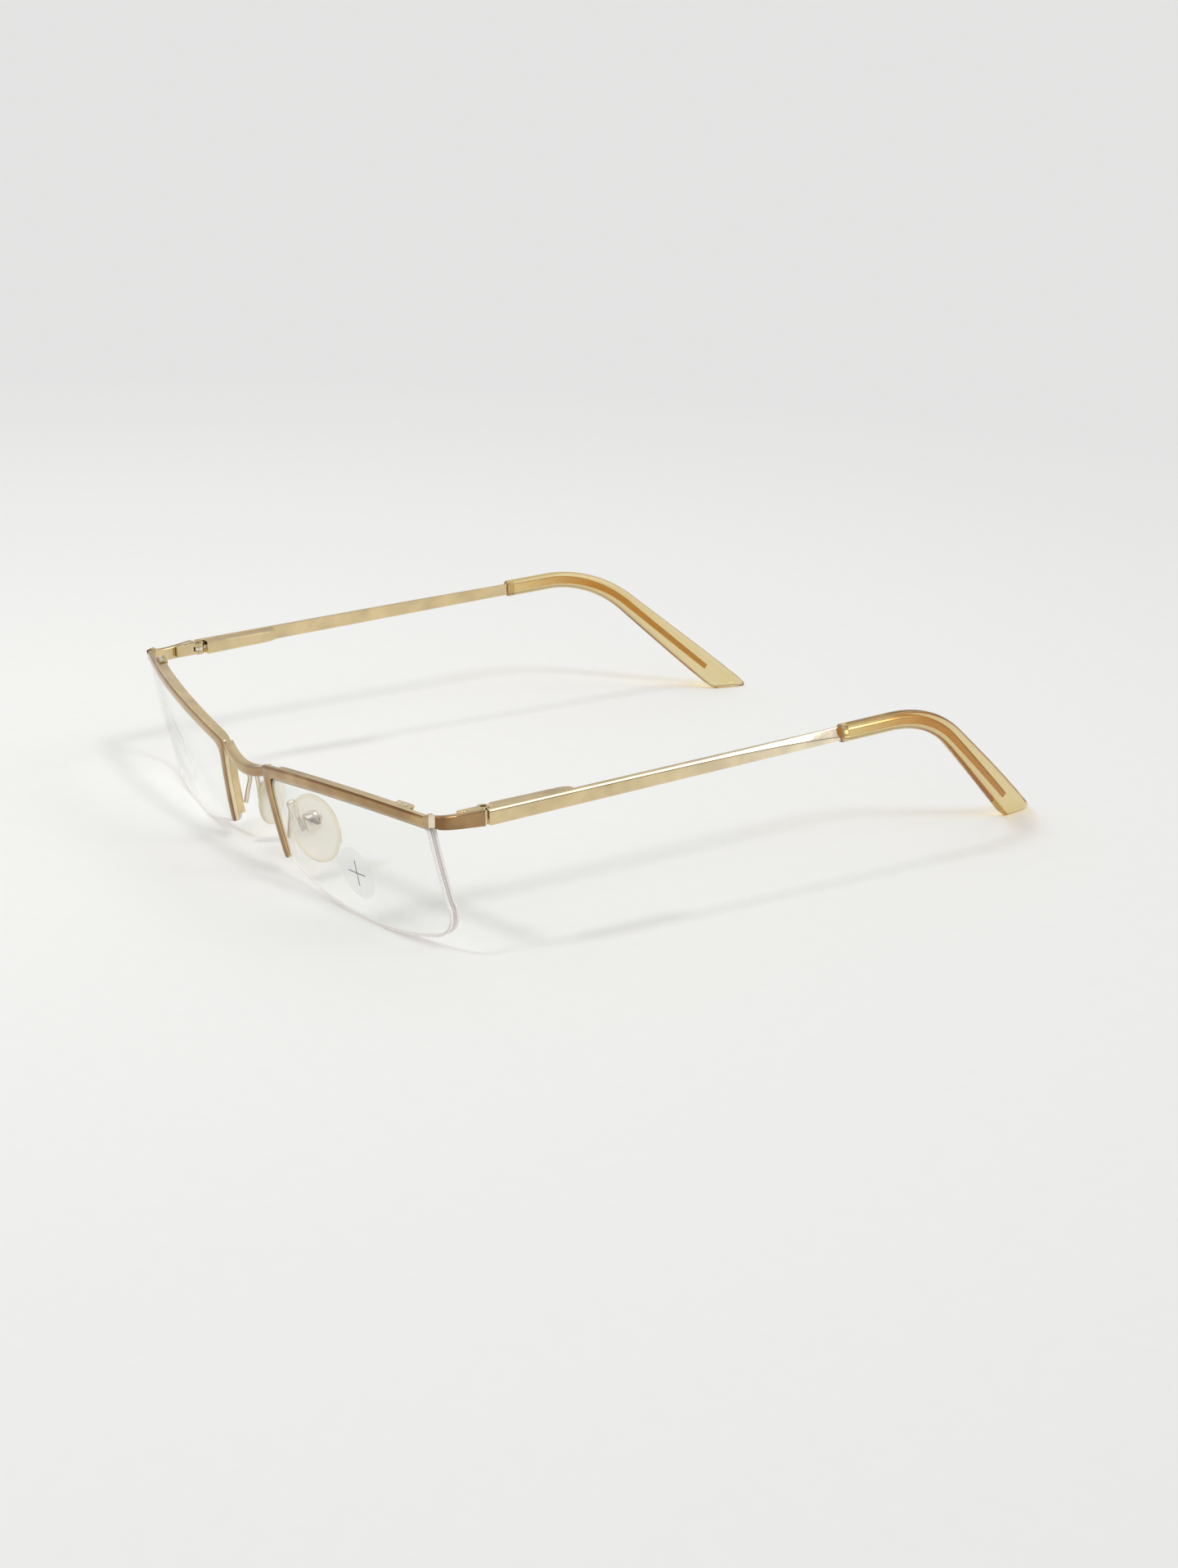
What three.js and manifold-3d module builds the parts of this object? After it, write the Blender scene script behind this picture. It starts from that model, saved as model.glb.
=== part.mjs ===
// Semi-rimless eyeglasses with flex hinges, in millimetres.
// +X is the wearer's left, -Y is the front, +Z is up. The glasses stand open on a table, on the
// lower edges of the lenses and the ends of the temple tips, and the origin is the middle of
// their footprint.

import * as THREE from 'three';
import { mergeVertices } from 'three/addons/utils/BufferGeometryUtils.js';
import loadManifold from 'manifold-3d';

const manifold = await loadManifold();
manifold.setup();

// The lenses and how the front carries them.
const LENS_SPACING = 76.5;
const LENS_HALF_WIDTH = 26.85;
const LENS_DROP = 13.9;
const LENS_THICKNESS = 2.0;
const LENS_BASE_RADIUS = 178;
const LENS_BOTTOM_RADIUS = 80;
const LENS_BOTTOM_SHIFT = 3.0;
const LENS_TEMPLE_LEAN = 0.115;
const LENS_NOSE_FILLET = 3.2;
const LENS_FOOT_FILLET = 2.2;
const LENS_TEMPLE_FILLET = 5.5;
const LENS_TOP_FILLET = 1.0;
const LENS_GROOVE_WIDTH = 0.8;
const LENS_GROOVE_DEPTH = 0.6;
const PANTOSCOPIC_TILT = THREE.MathUtils.degToRad(10.4);
const FACE_FORM = THREE.MathUtils.degToRad(8.4);

// The gold front bar, the grooved channel behind it and the nylon in the grooves.
const BAR_HEIGHT = 2.2;
const BAR_DEPTH = 1.2;
const BROW_NOSE_HEIGHT = 9.3;
const BROW_TEMPLE_HEIGHT = 12.2;
const BROW_CROWN = 1.74;
const BROW_END_INSET = 2.2;
const NASAL_SLANT = 2.1;
const NASAL_FOOT = 7.5;
const NASAL_FOOT_ROUND = 0.8;
const CHANNEL_DEPTH = 1.45;
const CHANNEL_HEIGHT = 1.0;
const CHANNEL_LIP = 0.5;
const CHANNEL_END = 19.0;
const ANCHOR_LENGTH = 4.0;
const ANCHOR_RISE = 0.35;
const LINER_WIDTH = 0.5;
const LINER_BITE = 0.4;
const CORD_RADIUS = 0.22;
const CORD_END_GAP = 0.3;
const CORD_GAP = 0.18;

// The bridge between the two rims.
const BRIDGE_HEIGHT = 2.0;
const BRIDGE_DEPTH = 2.2;
const BRIDGE_DROP = 0.6;
const BRIDGE_SAG = 1.6;
const BRIDGE_REACH = 0.7;

// The endpiece, from the kink at the end of the brow back to the temple joint.
const KINK_REACH = 1.2;
const KINK_SETBACK = 0.9;
const ENDPIECE_LENGTH = 10.35;
const ENDPIECE_FLARE = 2.05;
const ENDPIECE_FALL = 0.3;
const ENDPIECE_SAG = 0.55;
const ENDPIECE_HEIGHT = 2.4;
const ENDPIECE_THICKNESS = 1.25;

// The hinge. Its screw stands inside the temple, a little behind the joint.
const SCREW_INSET = 2.6;
const SCREW_SETBACK = 0.3;
const SCREW_RADIUS = 0.5;
const SCREW_HEAD_RADIUS = 0.85;
const SCREW_HEAD_HEIGHT = 0.4;
const SLOT_WIDTH = 0.25;
const SLOT_DEPTH = 0.18;
const EYELET_RADIUS = 1.15;
const EYELET_HEIGHT = 0.75;
const TONGUE_HEIGHT = 0.8;
const LUG_LENGTH = 3.8;
const LUG_WEB_INNER = 0.58;
const LUG_WEB_OUTER = 0.92;
const SHANK_RADIUS = 0.34;
const SHANK_LENGTH = 12.5;
const STOP_RADIUS = 0.62;
const STOP_LENGTH = 1.0;
const STOP_MARGIN = 0.5;
const SPRING_WIRE_RADIUS = 0.11;
const SPRING_TURNS = 7;
const SPRING_BOX_LENGTH = 16.5;
const SPRING_BOX_DEPTH = 2.3;
const SPRING_BOX_HEIGHT = 2.8;
const SPRING_BOX_REAR_HEIGHT = 2.4;
const SPRING_BOX_END_DEPTH = 0.7;
const SPRING_BOX_ROUND = 2.3;
const SPRING_BOX_SETBACK = 1.7;
const SPRING_BOX_BORE = 0.76;
const SPRING_BOX_WALL = 1.2;

// The temples and their tips.
const TEMPLE_RISE = THREE.MathUtils.degToRad(2.0);
const TEMPLE_TOE_IN = THREE.MathUtils.degToRad(0.4);
const TEMPLE_FRONT_HEIGHT = 3.05;
const TEMPLE_REAR_HEIGHT = 2.6;
const TEMPLE_DROP = 0.25;
const TEMPLE_THICKNESS = 1.25;
const CORE_HEIGHT = 1.6;
const CORE_THICKNESS = 0.8;
const CORE_END_MARGIN = 10;
const TIP_START = 76.7;
const BEND_START = 88;
const BEND_RADIUS = 27;
const DROP_ANGLE = THREE.MathUtils.degToRad(44.3);
const DROP_LENGTH = 35;
const TIP_INWARD = 10.5;
const TIP_INWARD_LENGTH = 41;
const TIP_INWARD_POWER = 1.5;
const TIP_ROUND = 0.5;
const TIP_HEIGHT = 3.6;
const TIP_FLARE_HEIGHT = 6.2;
const TIP_THICKNESS = 2.7;
const TIP_END_THICKNESS = 2.2;

// The nose pads, their wire arms and their boxes.
const PAD_SPACING = 20.6;
const PAD_SETBACK = 12.1;
const PAD_HEIGHT = 9.2;
const PAD_FRONTAL_ANGLE = THREE.MathUtils.degToRad(14);
const PAD_SPLAY_ANGLE = THREE.MathUtils.degToRad(28);
const PAD_LEAN_ANGLE = THREE.MathUtils.degToRad(21);
const PAD_HALF_LENGTH = 6.9;
const PAD_HALF_WIDTH = 4.3;
const PAD_THICKNESS = 1.9;
const PAD_EDGE = 0.6;
const PAD_BOX_RISE = 1.6;
const PAD_BOX_HEIGHT = 3.9;
const PAD_BOX_WIDTH = 3.1;
const PAD_BOX_DEPTH = 1.6;
const PAD_BOX_WALL = 0.45;
const PAD_BOX_SHOULDER = 0.95;
const PAD_BOX_BACK_WIDTH = 2.2;
const PAD_BOX_BACK_HEIGHT = 2.8;
const PAD_SCREW_RADIUS = 0.3;
const PAD_SCREW_HEAD_RADIUS = 0.7;
const PAD_SCREW_HEAD_HEIGHT = 0.45;
const PAD_STEM_WIDTH = 1.0;
const PAD_STEM_HEIGHT = 1.5;
const PAD_STEM_BITE = 0.7;
const ARM_RADIUS = 0.46;
const ARM_FOOT = 5.0;
const ARM_TOP = 1.2;
const ARM_ARCH = 1.9;
const ARM_ARCH_SHARE = 0.6;
const ARM_LIFT = 1.7;
const ARM_LANDING = 1.1;

// Clearances: soldered or seated faces, lens edge to rim, and turning or sliding fits.
const SOLDER_GAP = 0.12;
const LENS_GAP = 0.15;
const FIT = 0.06;
const JOINT_GAP = 0.3;
const PAD_GAP = 0.3;
const BAR_SKIN = 0.02;
const EYELET_CLEARANCE = 0.18;
const EDGE_BEVEL = 0.25;

// How finely curves are drawn.
const BROW_STEPS = 14;
const DROP_STEPS = 4;
const SIDE_STEPS = 3;
const BOTTOM_STEPS = 12;
const CORNER_STEPS = 3;
const ANCHOR_STEPS = 4;
const BRIDGE_STEPS = 10;
const ENDPIECE_STEPS = 6;
const TEMPLE_STEPS = 6;
const TIP_STEPS = 18;
const ARM_STEPS = 26;
const ROUND_STEPS = 3;
const ROUND_SIDES = 16;
const SLEEVE_SIDES = 12;
const SLEEVE_FULLNESS = 0.75;
const OVAL_SIDES = 20;
const WIRE_SIDES = 6;
const CURL_STEPS = 8;
const CURL_SIDES = 5;
const LENS_RING_SHARES = [0.4, 0.75];

const GOLD = new THREE.MeshStandardMaterial({ color: 0xcdb27c, roughness: 0.22, metalness: 1 });
const STEEL = new THREE.MeshStandardMaterial({ color: 0xd8d0be, roughness: 0.2, metalness: 1 });
const CLEAR = new THREE.MeshStandardMaterial({
  color: 0xf2f2f4, roughness: 0.04, opacity: 0.25, transparent: true,
});
const NYLON = new THREE.MeshStandardMaterial({ color: 0xf4f2f0, roughness: 0.25 });
const AMBER = new THREE.MeshStandardMaterial({
  color: 0xc9a55e, roughness: 0.12, opacity: 0.75, transparent: true,
});
const CREAM = new THREE.MeshStandardMaterial({ color: 0xefe6cb, roughness: 0.3 });

const vector = (x, y, z) => new THREE.Vector3(x, y, z);
const mix = THREE.MathUtils.lerp;

// Solids

// A closed skin through rings of equal point counts. Its ends are points or flat faces.
function skin(rings, startPoint, endPoint) {
  const count = rings[0].length;
  const points = rings.flat();
  const faces = [];
  for (let row = 0; row + 1 < rings.length; row++) {
    for (let side = 0; side < count; side++) {
      const a = row * count + side;
      const b = row * count + (side + 1) % count;
      faces.push(a, b, b + count, a, b + count, a + count);
    }
  }
  const last = (rings.length - 1) * count;
  if (startPoint) points.push(startPoint);
  const start = startPoint ? points.length - 1 : 0;
  if (endPoint) points.push(endPoint);
  const end = endPoint ? points.length - 1 : last;
  for (let side = 0; side < count; side++) {
    const next = (side + 1) % count;
    if (startPoint || (side > 0 && next > 0)) faces.push(start, next, side);
    if (endPoint || (side > 0 && next > 0)) faces.push(end, last + side, last + next);
  }
  return outward(points, faces);
}

// Faces are turned round where the solid would be inside out.
function outward(points, faces) {
  let volume = 0;
  for (let i = 0; i < faces.length; i += 3) {
    const cross = points[faces[i + 1]].clone().cross(points[faces[i + 2]]);
    volume += points[faces[i]].dot(cross);
  }
  const turned = volume < 0 ? faces.slice().reverse() : faces;
  const geometry = new THREE.BufferGeometry().setFromPoints(points);
  geometry.setIndex(turned);
  return geometry;
}

function toSolid(geometry) {
  const bare = geometry.clone();
  bare.deleteAttribute('normal');
  bare.deleteAttribute('uv');
  const merged = mergeVertices(bare, 1e-5);
  const vertProperties = new Float32Array(merged.attributes.position.array);
  const triVerts = new Uint32Array(merged.index.array);
  return new manifold.Manifold(new manifold.Mesh({ numProp: 3, vertProperties, triVerts }));
}

function toGeometry(solid) {
  const mesh = solid.getMesh();
  const geometry = new THREE.BufferGeometry();
  geometry.setAttribute('position', new THREE.BufferAttribute(mesh.vertProperties, 3));
  geometry.setIndex(new THREE.BufferAttribute(mesh.triVerts, 1));
  return geometry;
}

const join = (first, ...rest) =>
  toGeometry(rest.reduce((whole, piece) => whole.add(toSolid(piece)), toSolid(first)));

const cut = (first, ...rest) =>
  toGeometry(rest.reduce((whole, piece) => whole.subtract(toSolid(piece)), toSolid(first)));

// A box between two corners.
function block(low, high) {
  const size = high.clone().sub(low);
  const middle = high.clone().add(low).multiplyScalar(0.5);
  return new THREE.BoxGeometry(size.x, size.y, size.z).translate(middle.x, middle.y, middle.z);
}

// Round bars, upright from one height to another or lying along Y.
function uprightBar(radius, low, high) {
  const bar = new THREE.CylinderGeometry(radius, radius, high - low, ROUND_SIDES);
  return bar.rotateX(Math.PI / 2).translate(0, 0, (low + high) / 2);
}

function lyingBar(radius, front, back) {
  const bar = new THREE.CylinderGeometry(radius, radius, back - front, ROUND_SIDES);
  return bar.translate(0, (front + back) / 2, 0);
}

// A round wire along a smooth curve through the given points.
function wire(points, radius, steps, sides) {
  const section = new THREE.Shape();
  for (let side = 0; side < sides; side++) {
    const angle = 2 * Math.PI * side / sides;
    const place = [radius * Math.cos(angle), radius * Math.sin(angle)];
    if (side === 0) section.moveTo(...place);
    else section.lineTo(...place);
  }
  const extrudePath = new THREE.CatmullRomCurve3(points, false, 'centripetal');
  return new THREE.ExtrudeGeometry(section, { steps, extrudePath, curveSegments: 1 });
}

// Rings at even steps along a length.
function along(from, to, steps, ringAt) {
  const rings = [];
  for (let i = 0; i <= steps; i++) rings.push(ringAt(mix(from, to, i / steps), i / steps));
  return rings;
}

// Rings round an edge, from a little past its start to its end.
function rounding(ringAt, radius) {
  const rings = [];
  for (let i = 1; i <= ROUND_STEPS; i++) {
    const angle = Math.PI / 2 * i / ROUND_STEPS;
    rings.push(ringAt(radius * Math.sin(angle), radius * (1 - Math.cos(angle))));
  }
  return rings;
}

// An eight-sided ring, a rectangle with its corners taken off, in the plane of side and up.
function barRing(middle, side, up, thickness, height) {
  const bevel = EDGE_BEVEL;
  const half = thickness / 2;
  const rise = height / 2;
  const corners = [
    [half - bevel, rise], [half, rise - bevel], [half, bevel - rise], [half - bevel, -rise],
    [bevel - half, -rise], [-half, bevel - rise], [-half, rise - bevel], [bevel - half, rise],
  ];
  return corners.map(([across, above]) =>
    middle.clone().addScaledVector(side, across).addScaledVector(up, above));
}

// A ring for the sleeve, fuller than an ellipse is at its corners.
function sleeveRing(middle, side, up, thickness, height) {
  const ring = [];
  const bulge = (value) => Math.sign(value) * Math.abs(value) ** SLEEVE_FULLNESS;
  for (let i = 0; i < SLEEVE_SIDES; i++) {
    const angle = 2 * Math.PI * i / SLEEVE_SIDES;
    const across = thickness / 2 * bulge(Math.cos(angle));
    const above = height / 2 * bulge(Math.sin(angle));
    ring.push(middle.clone().addScaledVector(side, across).addScaledVector(up, above));
  }
  return ring;
}

// Outlines of one half of the front, seen from in front: u runs out from the middle of the lens
// and v runs up. The half is then bent back over the ball that the lens is cut from.

const BAR_CENTRE = BAR_HEIGHT / 2 + LENS_GAP;
const NASAL_TOP_U = -LENS_HALF_WIDTH - BAR_CENTRE;
const BROW_END_U = LENS_HALF_WIDTH - BROW_END_INSET;

function browAt(u) {
  const share = (u - NASAL_TOP_U) / (BROW_END_U - NASAL_TOP_U);
  return mix(BROW_NOSE_HEIGHT, BROW_TEMPLE_HEIGHT, share) + 4 * BROW_CROWN * share * (1 - share);
}

function nasalAt(v) {
  const share = (BROW_NOSE_HEIGHT - v) / (BROW_NOSE_HEIGHT + NASAL_FOOT);
  return NASAL_TOP_U + NASAL_SLANT * share;
}

function bottomAt(u) {
  const reach = u - LENS_BOTTOM_SHIFT;
  return -LENS_DROP + LENS_BOTTOM_RADIUS - Math.sqrt(LENS_BOTTOM_RADIUS ** 2 - reach ** 2);
}

const templeEdgeAt = (v) => LENS_HALF_WIDTH - LENS_TEMPLE_LEAN * Math.max(0, v + LENS_DROP / 2);

const point = (u, v) => new THREE.Vector2(u, v);

// Points of a rounded corner, from one side to the next.
function corner(from, tip, to) {
  return new THREE.QuadraticBezierCurve(from, tip, to).getPoints(CORNER_STEPS);
}

function run(from, to, steps, heightAt) {
  const points = [];
  for (let i = 1; i < steps; i++) {
    const u = mix(from, to, i / steps);
    points.push(point(u, heightAt(u)));
  }
  return points;
}

// The lens outline, in two stretches: under the brow and down the nose side, where the rim holds
// it, and round the open lower and outer edge, where the cord does.
const underBrowAt = (u) => browAt(u) - BAR_CENTRE;
const noseEdgeAt = (v) => nasalAt(v) + BAR_CENTRE;

function lensOutline() {
  const topU = templeEdgeAt(browAt(LENS_HALF_WIDTH));
  const topTip = point(topU, underBrowAt(topU));
  const topStart = point(templeEdgeAt(topTip.y - LENS_TOP_FILLET), topTip.y - LENS_TOP_FILLET);
  const topEnd = point(topU - LENS_TOP_FILLET, underBrowAt(topU - LENS_TOP_FILLET));
  const noseV = underBrowAt(NASAL_TOP_U + BAR_CENTRE);
  const noseTip = point(noseEdgeAt(noseV), noseV);
  const noseStart = point(noseTip.x + LENS_NOSE_FILLET, underBrowAt(noseTip.x + LENS_NOSE_FILLET));
  const noseEnd = point(noseEdgeAt(noseV - LENS_NOSE_FILLET), noseV - LENS_NOSE_FILLET);
  const footU = noseEdgeAt(-NASAL_FOOT);
  const footTip = point(footU, bottomAt(footU));
  const footStart = point(noseEdgeAt(footTip.y + LENS_FOOT_FILLET), footTip.y + LENS_FOOT_FILLET);
  const footEnd = point(footU + LENS_FOOT_FILLET, bottomAt(footU + LENS_FOOT_FILLET));
  const templeU = LENS_HALF_WIDTH;
  const templeTip = point(templeU, bottomAt(templeU));
  const templeStart = point(templeU - LENS_TEMPLE_FILLET, bottomAt(templeU - LENS_TEMPLE_FILLET));
  const templeEnd = point(templeU, templeTip.y + LENS_TEMPLE_FILLET);
  const between = (from, to, edgeAt) =>
    run(from.y, to.y, SIDE_STEPS, edgeAt).map((edge) => point(edge.y, edge.x));
  const held = [
    ...run(topEnd.x, noseStart.x, BROW_STEPS, underBrowAt),
    ...corner(noseStart, noseTip, noseEnd),
    ...between(noseEnd, footStart, noseEdgeAt),
    footStart,
  ];
  const open = [
    ...corner(footStart, footTip, footEnd).slice(1),
    ...run(footEnd.x, templeStart.x, BOTTOM_STEPS, bottomAt),
    ...corner(templeStart, templeTip, templeEnd),
    ...between(templeEnd, topStart, templeEdgeAt),
    ...corner(topStart, topTip, topEnd),
  ];
  return { held, open, whole: [...held, ...open] };
}

// Each outline point moved outwards, square to the outline there.
function grown(points, amount, closed) {
  const last = points.length - 1;
  return points.map((here, i) => {
    const before = points[i > 0 ? i - 1 : (closed ? last : 0)];
    const after = points[i < last ? i + 1 : (closed ? 0 : last)];
    const along = after.clone().sub(before).normalize();
    return point(here.x + along.y * amount, here.y - along.x * amount);
  });
}

const sagAt = (u, v) => LENS_BASE_RADIUS - Math.sqrt(LENS_BASE_RADIUS ** 2 - u * u - v * v);

const bent = (u, depth, v) => vector(u, depth + sagAt(u, v), v);

// A rectangular strip that follows the outline, between two offsets and two depths.
function strip(points, inner, outer, front, back) {
  const near = grown(points, inner, false);
  const far = grown(points, outer, false);
  const rings = points.map((_, i) => [
    bent(near[i].x, front, near[i].y), bent(far[i].x, front, far[i].y),
    bent(far[i].x, back, far[i].y), bent(near[i].x, back, near[i].y),
  ]);
  return skin(rings);
}

const outline = lensOutline();
const channelEdge = [
  point(CHANNEL_END, underBrowAt(CHANNEL_END)),
  ...outline.held.filter((edge) => edge.x < CHANNEL_END),
];
const cordEdge = [
  ...outline.open,
  ...outline.held.filter((edge) => edge.x > CHANNEL_END + CORD_END_GAP),
  point(CHANNEL_END + CORD_END_GAP, underBrowAt(CHANNEL_END + CORD_END_GAP)),
];
const LENS_MIDDLE = BAR_DEPTH + SOLDER_GAP + LINER_WIDTH / 2;
const RIM_BACK = BAR_DEPTH + SOLDER_GAP + CHANNEL_DEPTH;

// The frames that the pieces are placed in: the left half of the front, the left hinge and the
// left nose pad. The right side is their mirror image.

const front = new THREE.Group();
front.position.set(LENS_SPACING / 2, 0, 0);
front.rotation.set(PANTOSCOPIC_TILT, 0, FACE_FORM);
front.updateMatrix();

const onFront = (u, depth, v) => bent(u, depth, v).applyMatrix4(front.matrix);

const kink = onFront(BROW_END_U + KINK_REACH, KINK_SETBACK, browAt(BROW_END_U));
const jointOuter = kink.clone().add(vector(ENDPIECE_FLARE, ENDPIECE_LENGTH, -ENDPIECE_FALL));

const hinge = new THREE.Group();
hinge.position.copy(jointOuter).add(vector(-SCREW_INSET, SCREW_SETBACK, 0));
hinge.rotation.set(TEMPLE_RISE, 0, TEMPLE_TOE_IN);
hinge.updateMatrix();

// The table is level with the lowest point of the lenses.
const LENS_BACK = LENS_MIDDLE + LENS_THICKNESS / 2;
const LENS_FRONT = LENS_MIDDLE - LENS_THICKNESS / 2;
const lensFeet = outline.whole.map((edge) => onFront(edge.x, LENS_FRONT, edge.y).z);
const TABLE = Math.min(...lensFeet);

const bridgeFront = onFront(NASAL_TOP_U - BAR_HEIGHT / 2, 0, BROW_NOSE_HEIGHT).y - BRIDGE_REACH;

const pad = new THREE.Group();
pad.position.set(PAD_SPACING / 2, bridgeFront + PAD_SETBACK, TABLE + PAD_HEIGHT);
pad.rotation.order = 'ZYX';
pad.rotation.set(PAD_LEAN_ANGLE, -PAD_FRONTAL_ANGLE, -PAD_SPLAY_ANGLE);
pad.updateMatrix();

// Pieces of the front

// Brow bar and nose-side drop in one, square outside where the bridge joins and filleted inside.
function rimGeometry() {
  const half = BAR_HEIGHT / 2;
  const browRing = (u) => [
    bent(u, 0, browAt(u) + half), bent(u, 0, browAt(u) - half),
    bent(u, BAR_DEPTH, browAt(u) - half), bent(u, BAR_DEPTH, browAt(u) + half),
  ];
  const dropRing = (v, width) => [
    bent(nasalAt(v) - width, 0, v), bent(nasalAt(v) + width, 0, v),
    bent(nasalAt(v) + width, BAR_DEPTH, v), bent(nasalAt(v) - width, BAR_DEPTH, v),
  ];
  const brow = skin(along(BROW_END_U, NASAL_TOP_U - half, BROW_STEPS, browRing));
  const drop = skin([
    ...along(BROW_NOSE_HEIGHT, -NASAL_FOOT, DROP_STEPS, (v) => dropRing(v, half)),
    ...rounding((ahead, inset) => dropRing(-NASAL_FOOT - ahead, half - inset), NASAL_FOOT_ROUND),
  ]);
  const fillet = LENS_NOSE_FILLET - LENS_GAP;
  const bite = half / 2;
  const noseV = browAt(NASAL_TOP_U + half) - half;
  const noseTip = point(nasalAt(noseV) + half, noseV);
  const filletFace = [
    point(noseTip.x - half, noseTip.y + bite),
    point(nasalAt(noseV - fillet) + bite, noseV - fillet),
    ...corner(
      point(nasalAt(noseV - fillet) + half, noseV - fillet),
      noseTip,
      point(noseTip.x + fillet, browAt(noseTip.x + fillet) - half),
    ),
    point(noseTip.x + fillet, browAt(noseTip.x + fillet) - bite),
  ];
  const filletRing = (depth) => filletFace.map((here) => bent(here.x, depth, here.y));
  const heart = (depth) => bent(noseTip.x, depth, noseTip.y);
  const near = BAR_SKIN;
  const far = BAR_DEPTH - BAR_SKIN;
  const web = skin([filletRing(near), filletRing(far)], heart(near), heart(far));
  return join(brow, drop, web);
}

// The rail behind the bar: a web over the liner, a lip behind the lens under the brow, and a
// thicker block at its outer end where the cord is anchored.
function channelGeometry() {
  const noseFillet = BROW_NOSE_HEIGHT - BAR_CENTRE - LENS_NOSE_FILLET;
  const browPart = channelEdge.filter((edge) => edge.y > noseFillet);
  const frontFace = BAR_DEPTH + SOLDER_GAP;
  const web = LENS_GAP + LINER_WIDTH;
  const rail = strip(channelEdge, web, web + CHANNEL_HEIGHT, frontFace, RIM_BACK);
  const lip = strip(browPart, LENS_GAP, web + CHANNEL_HEIGHT / 2, RIM_BACK - CHANNEL_LIP, RIM_BACK);
  const ends = run(CHANNEL_END, CHANNEL_END - ANCHOR_LENGTH, ANCHOR_STEPS, underBrowAt);
  const anchorTop = web + CHANNEL_HEIGHT + ANCHOR_RISE;
  const anchor = strip(ends, web + CHANNEL_HEIGHT / 2, anchorTop, frontFace, RIM_BACK + ANCHOR_RISE);
  return join(rail, lip, anchor);
}

// The liner fills the channel's groove and stands a little way into the groove of the lens.
function linerGeometry() {
  const near = LENS_MIDDLE - LINER_WIDTH / 2 + FIT;
  const far = LENS_MIDDLE + LINER_WIDTH / 2 - FIT;
  return strip(channelEdge, -LINER_BITE, LENS_GAP + LINER_WIDTH - FIT, near, far);
}

// A meniscus lens with a groove all round its edge.
function lensGeometry() {
  const wallFront = LENS_MIDDLE - LENS_GROOVE_WIDTH / 2;
  const wallBack = LENS_MIDDLE + LENS_GROOVE_WIDTH / 2;
  const edge = outline.whole;
  const floor = grown(edge, -LENS_GROOVE_DEPTH, true);
  const shrunk = (share) => edge.map((here) => here.clone().multiplyScalar(share));
  const ring = (points, depth) => points.map((here) => bent(here.x, depth, here.y));
  const rings = [
    ...LENS_RING_SHARES.map((share) => ring(shrunk(share), LENS_FRONT)),
    ring(edge, LENS_FRONT),
    ring(edge, wallFront),
    ring(floor, wallFront),
    ring(floor, wallBack),
    ring(edge, wallBack),
    ring(edge, LENS_BACK),
    ...LENS_RING_SHARES.toReversed().map((share) => ring(shrunk(share), LENS_BACK)),
  ];
  return skin(rings, bent(0, LENS_FRONT, 0), bent(0, LENS_BACK, 0));
}

// The cord lies in the groove round the open edge of the lens, from the foot of the nose-side drop
// to the anchor at the outer end of the channel.
function cordGeometry() {
  const route = grown(cordEdge, -(LENS_GROOVE_DEPTH - CORD_RADIUS - CORD_GAP), false);
  const points = route.map((here) => bent(here.x, LENS_MIDDLE, here.y));
  return wire(points, CORD_RADIUS, 2 * points.length, WIRE_SIDES);
}

// The bridge hangs a little between the rims and stands out in front of them.
function bridgeGeometry() {
  const rimFlank = NASAL_TOP_U - BAR_HEIGHT / 2 - SOLDER_GAP;
  const endMiddle = onFront(rimFlank, RIM_BACK / 2, BROW_NOSE_HEIGHT - BRIDGE_DROP);
  const up = vector(0, -Math.sin(PANTOSCOPIC_TILT), Math.cos(PANTOSCOPIC_TILT));
  const back = vector(0, Math.cos(PANTOSCOPIC_TILT), Math.sin(PANTOSCOPIC_TILT));
  return skin(along(-1, 1, BRIDGE_STEPS, (share) => {
    const bow = 1 - share * share;
    const middle = vector(
      endMiddle.x * share, endMiddle.y - BRIDGE_REACH * bow, endMiddle.z - BRIDGE_SAG * bow,
    );
    return barRing(middle, back, up, BRIDGE_DEPTH, BRIDGE_HEIGHT);
  }));
}

const ENDPIECE_BACK = -SCREW_SETBACK - JOINT_GAP / 2;
const ENDPIECE_INNER = SCREW_INSET - ENDPIECE_THICKNESS;

// The inner corner of the kink, on the line that halves the angle between brow and endpiece.
function mitrePoint() {
  const inwards = (from, to) => vector(from.y - to.y, to.x - from.x, 0).normalize();
  const browSide = inwards(onFront(BROW_END_U, 0, browAt(BROW_END_U)), kink);
  const hingeSide = inwards(kink, jointOuter);
  const reach = ENDPIECE_THICKNESS / (1 + browSide.dot(hingeSide));
  return kink.clone().addScaledVector(browSide.add(hingeSide), reach);
}

const mitre = mitrePoint();

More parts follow.
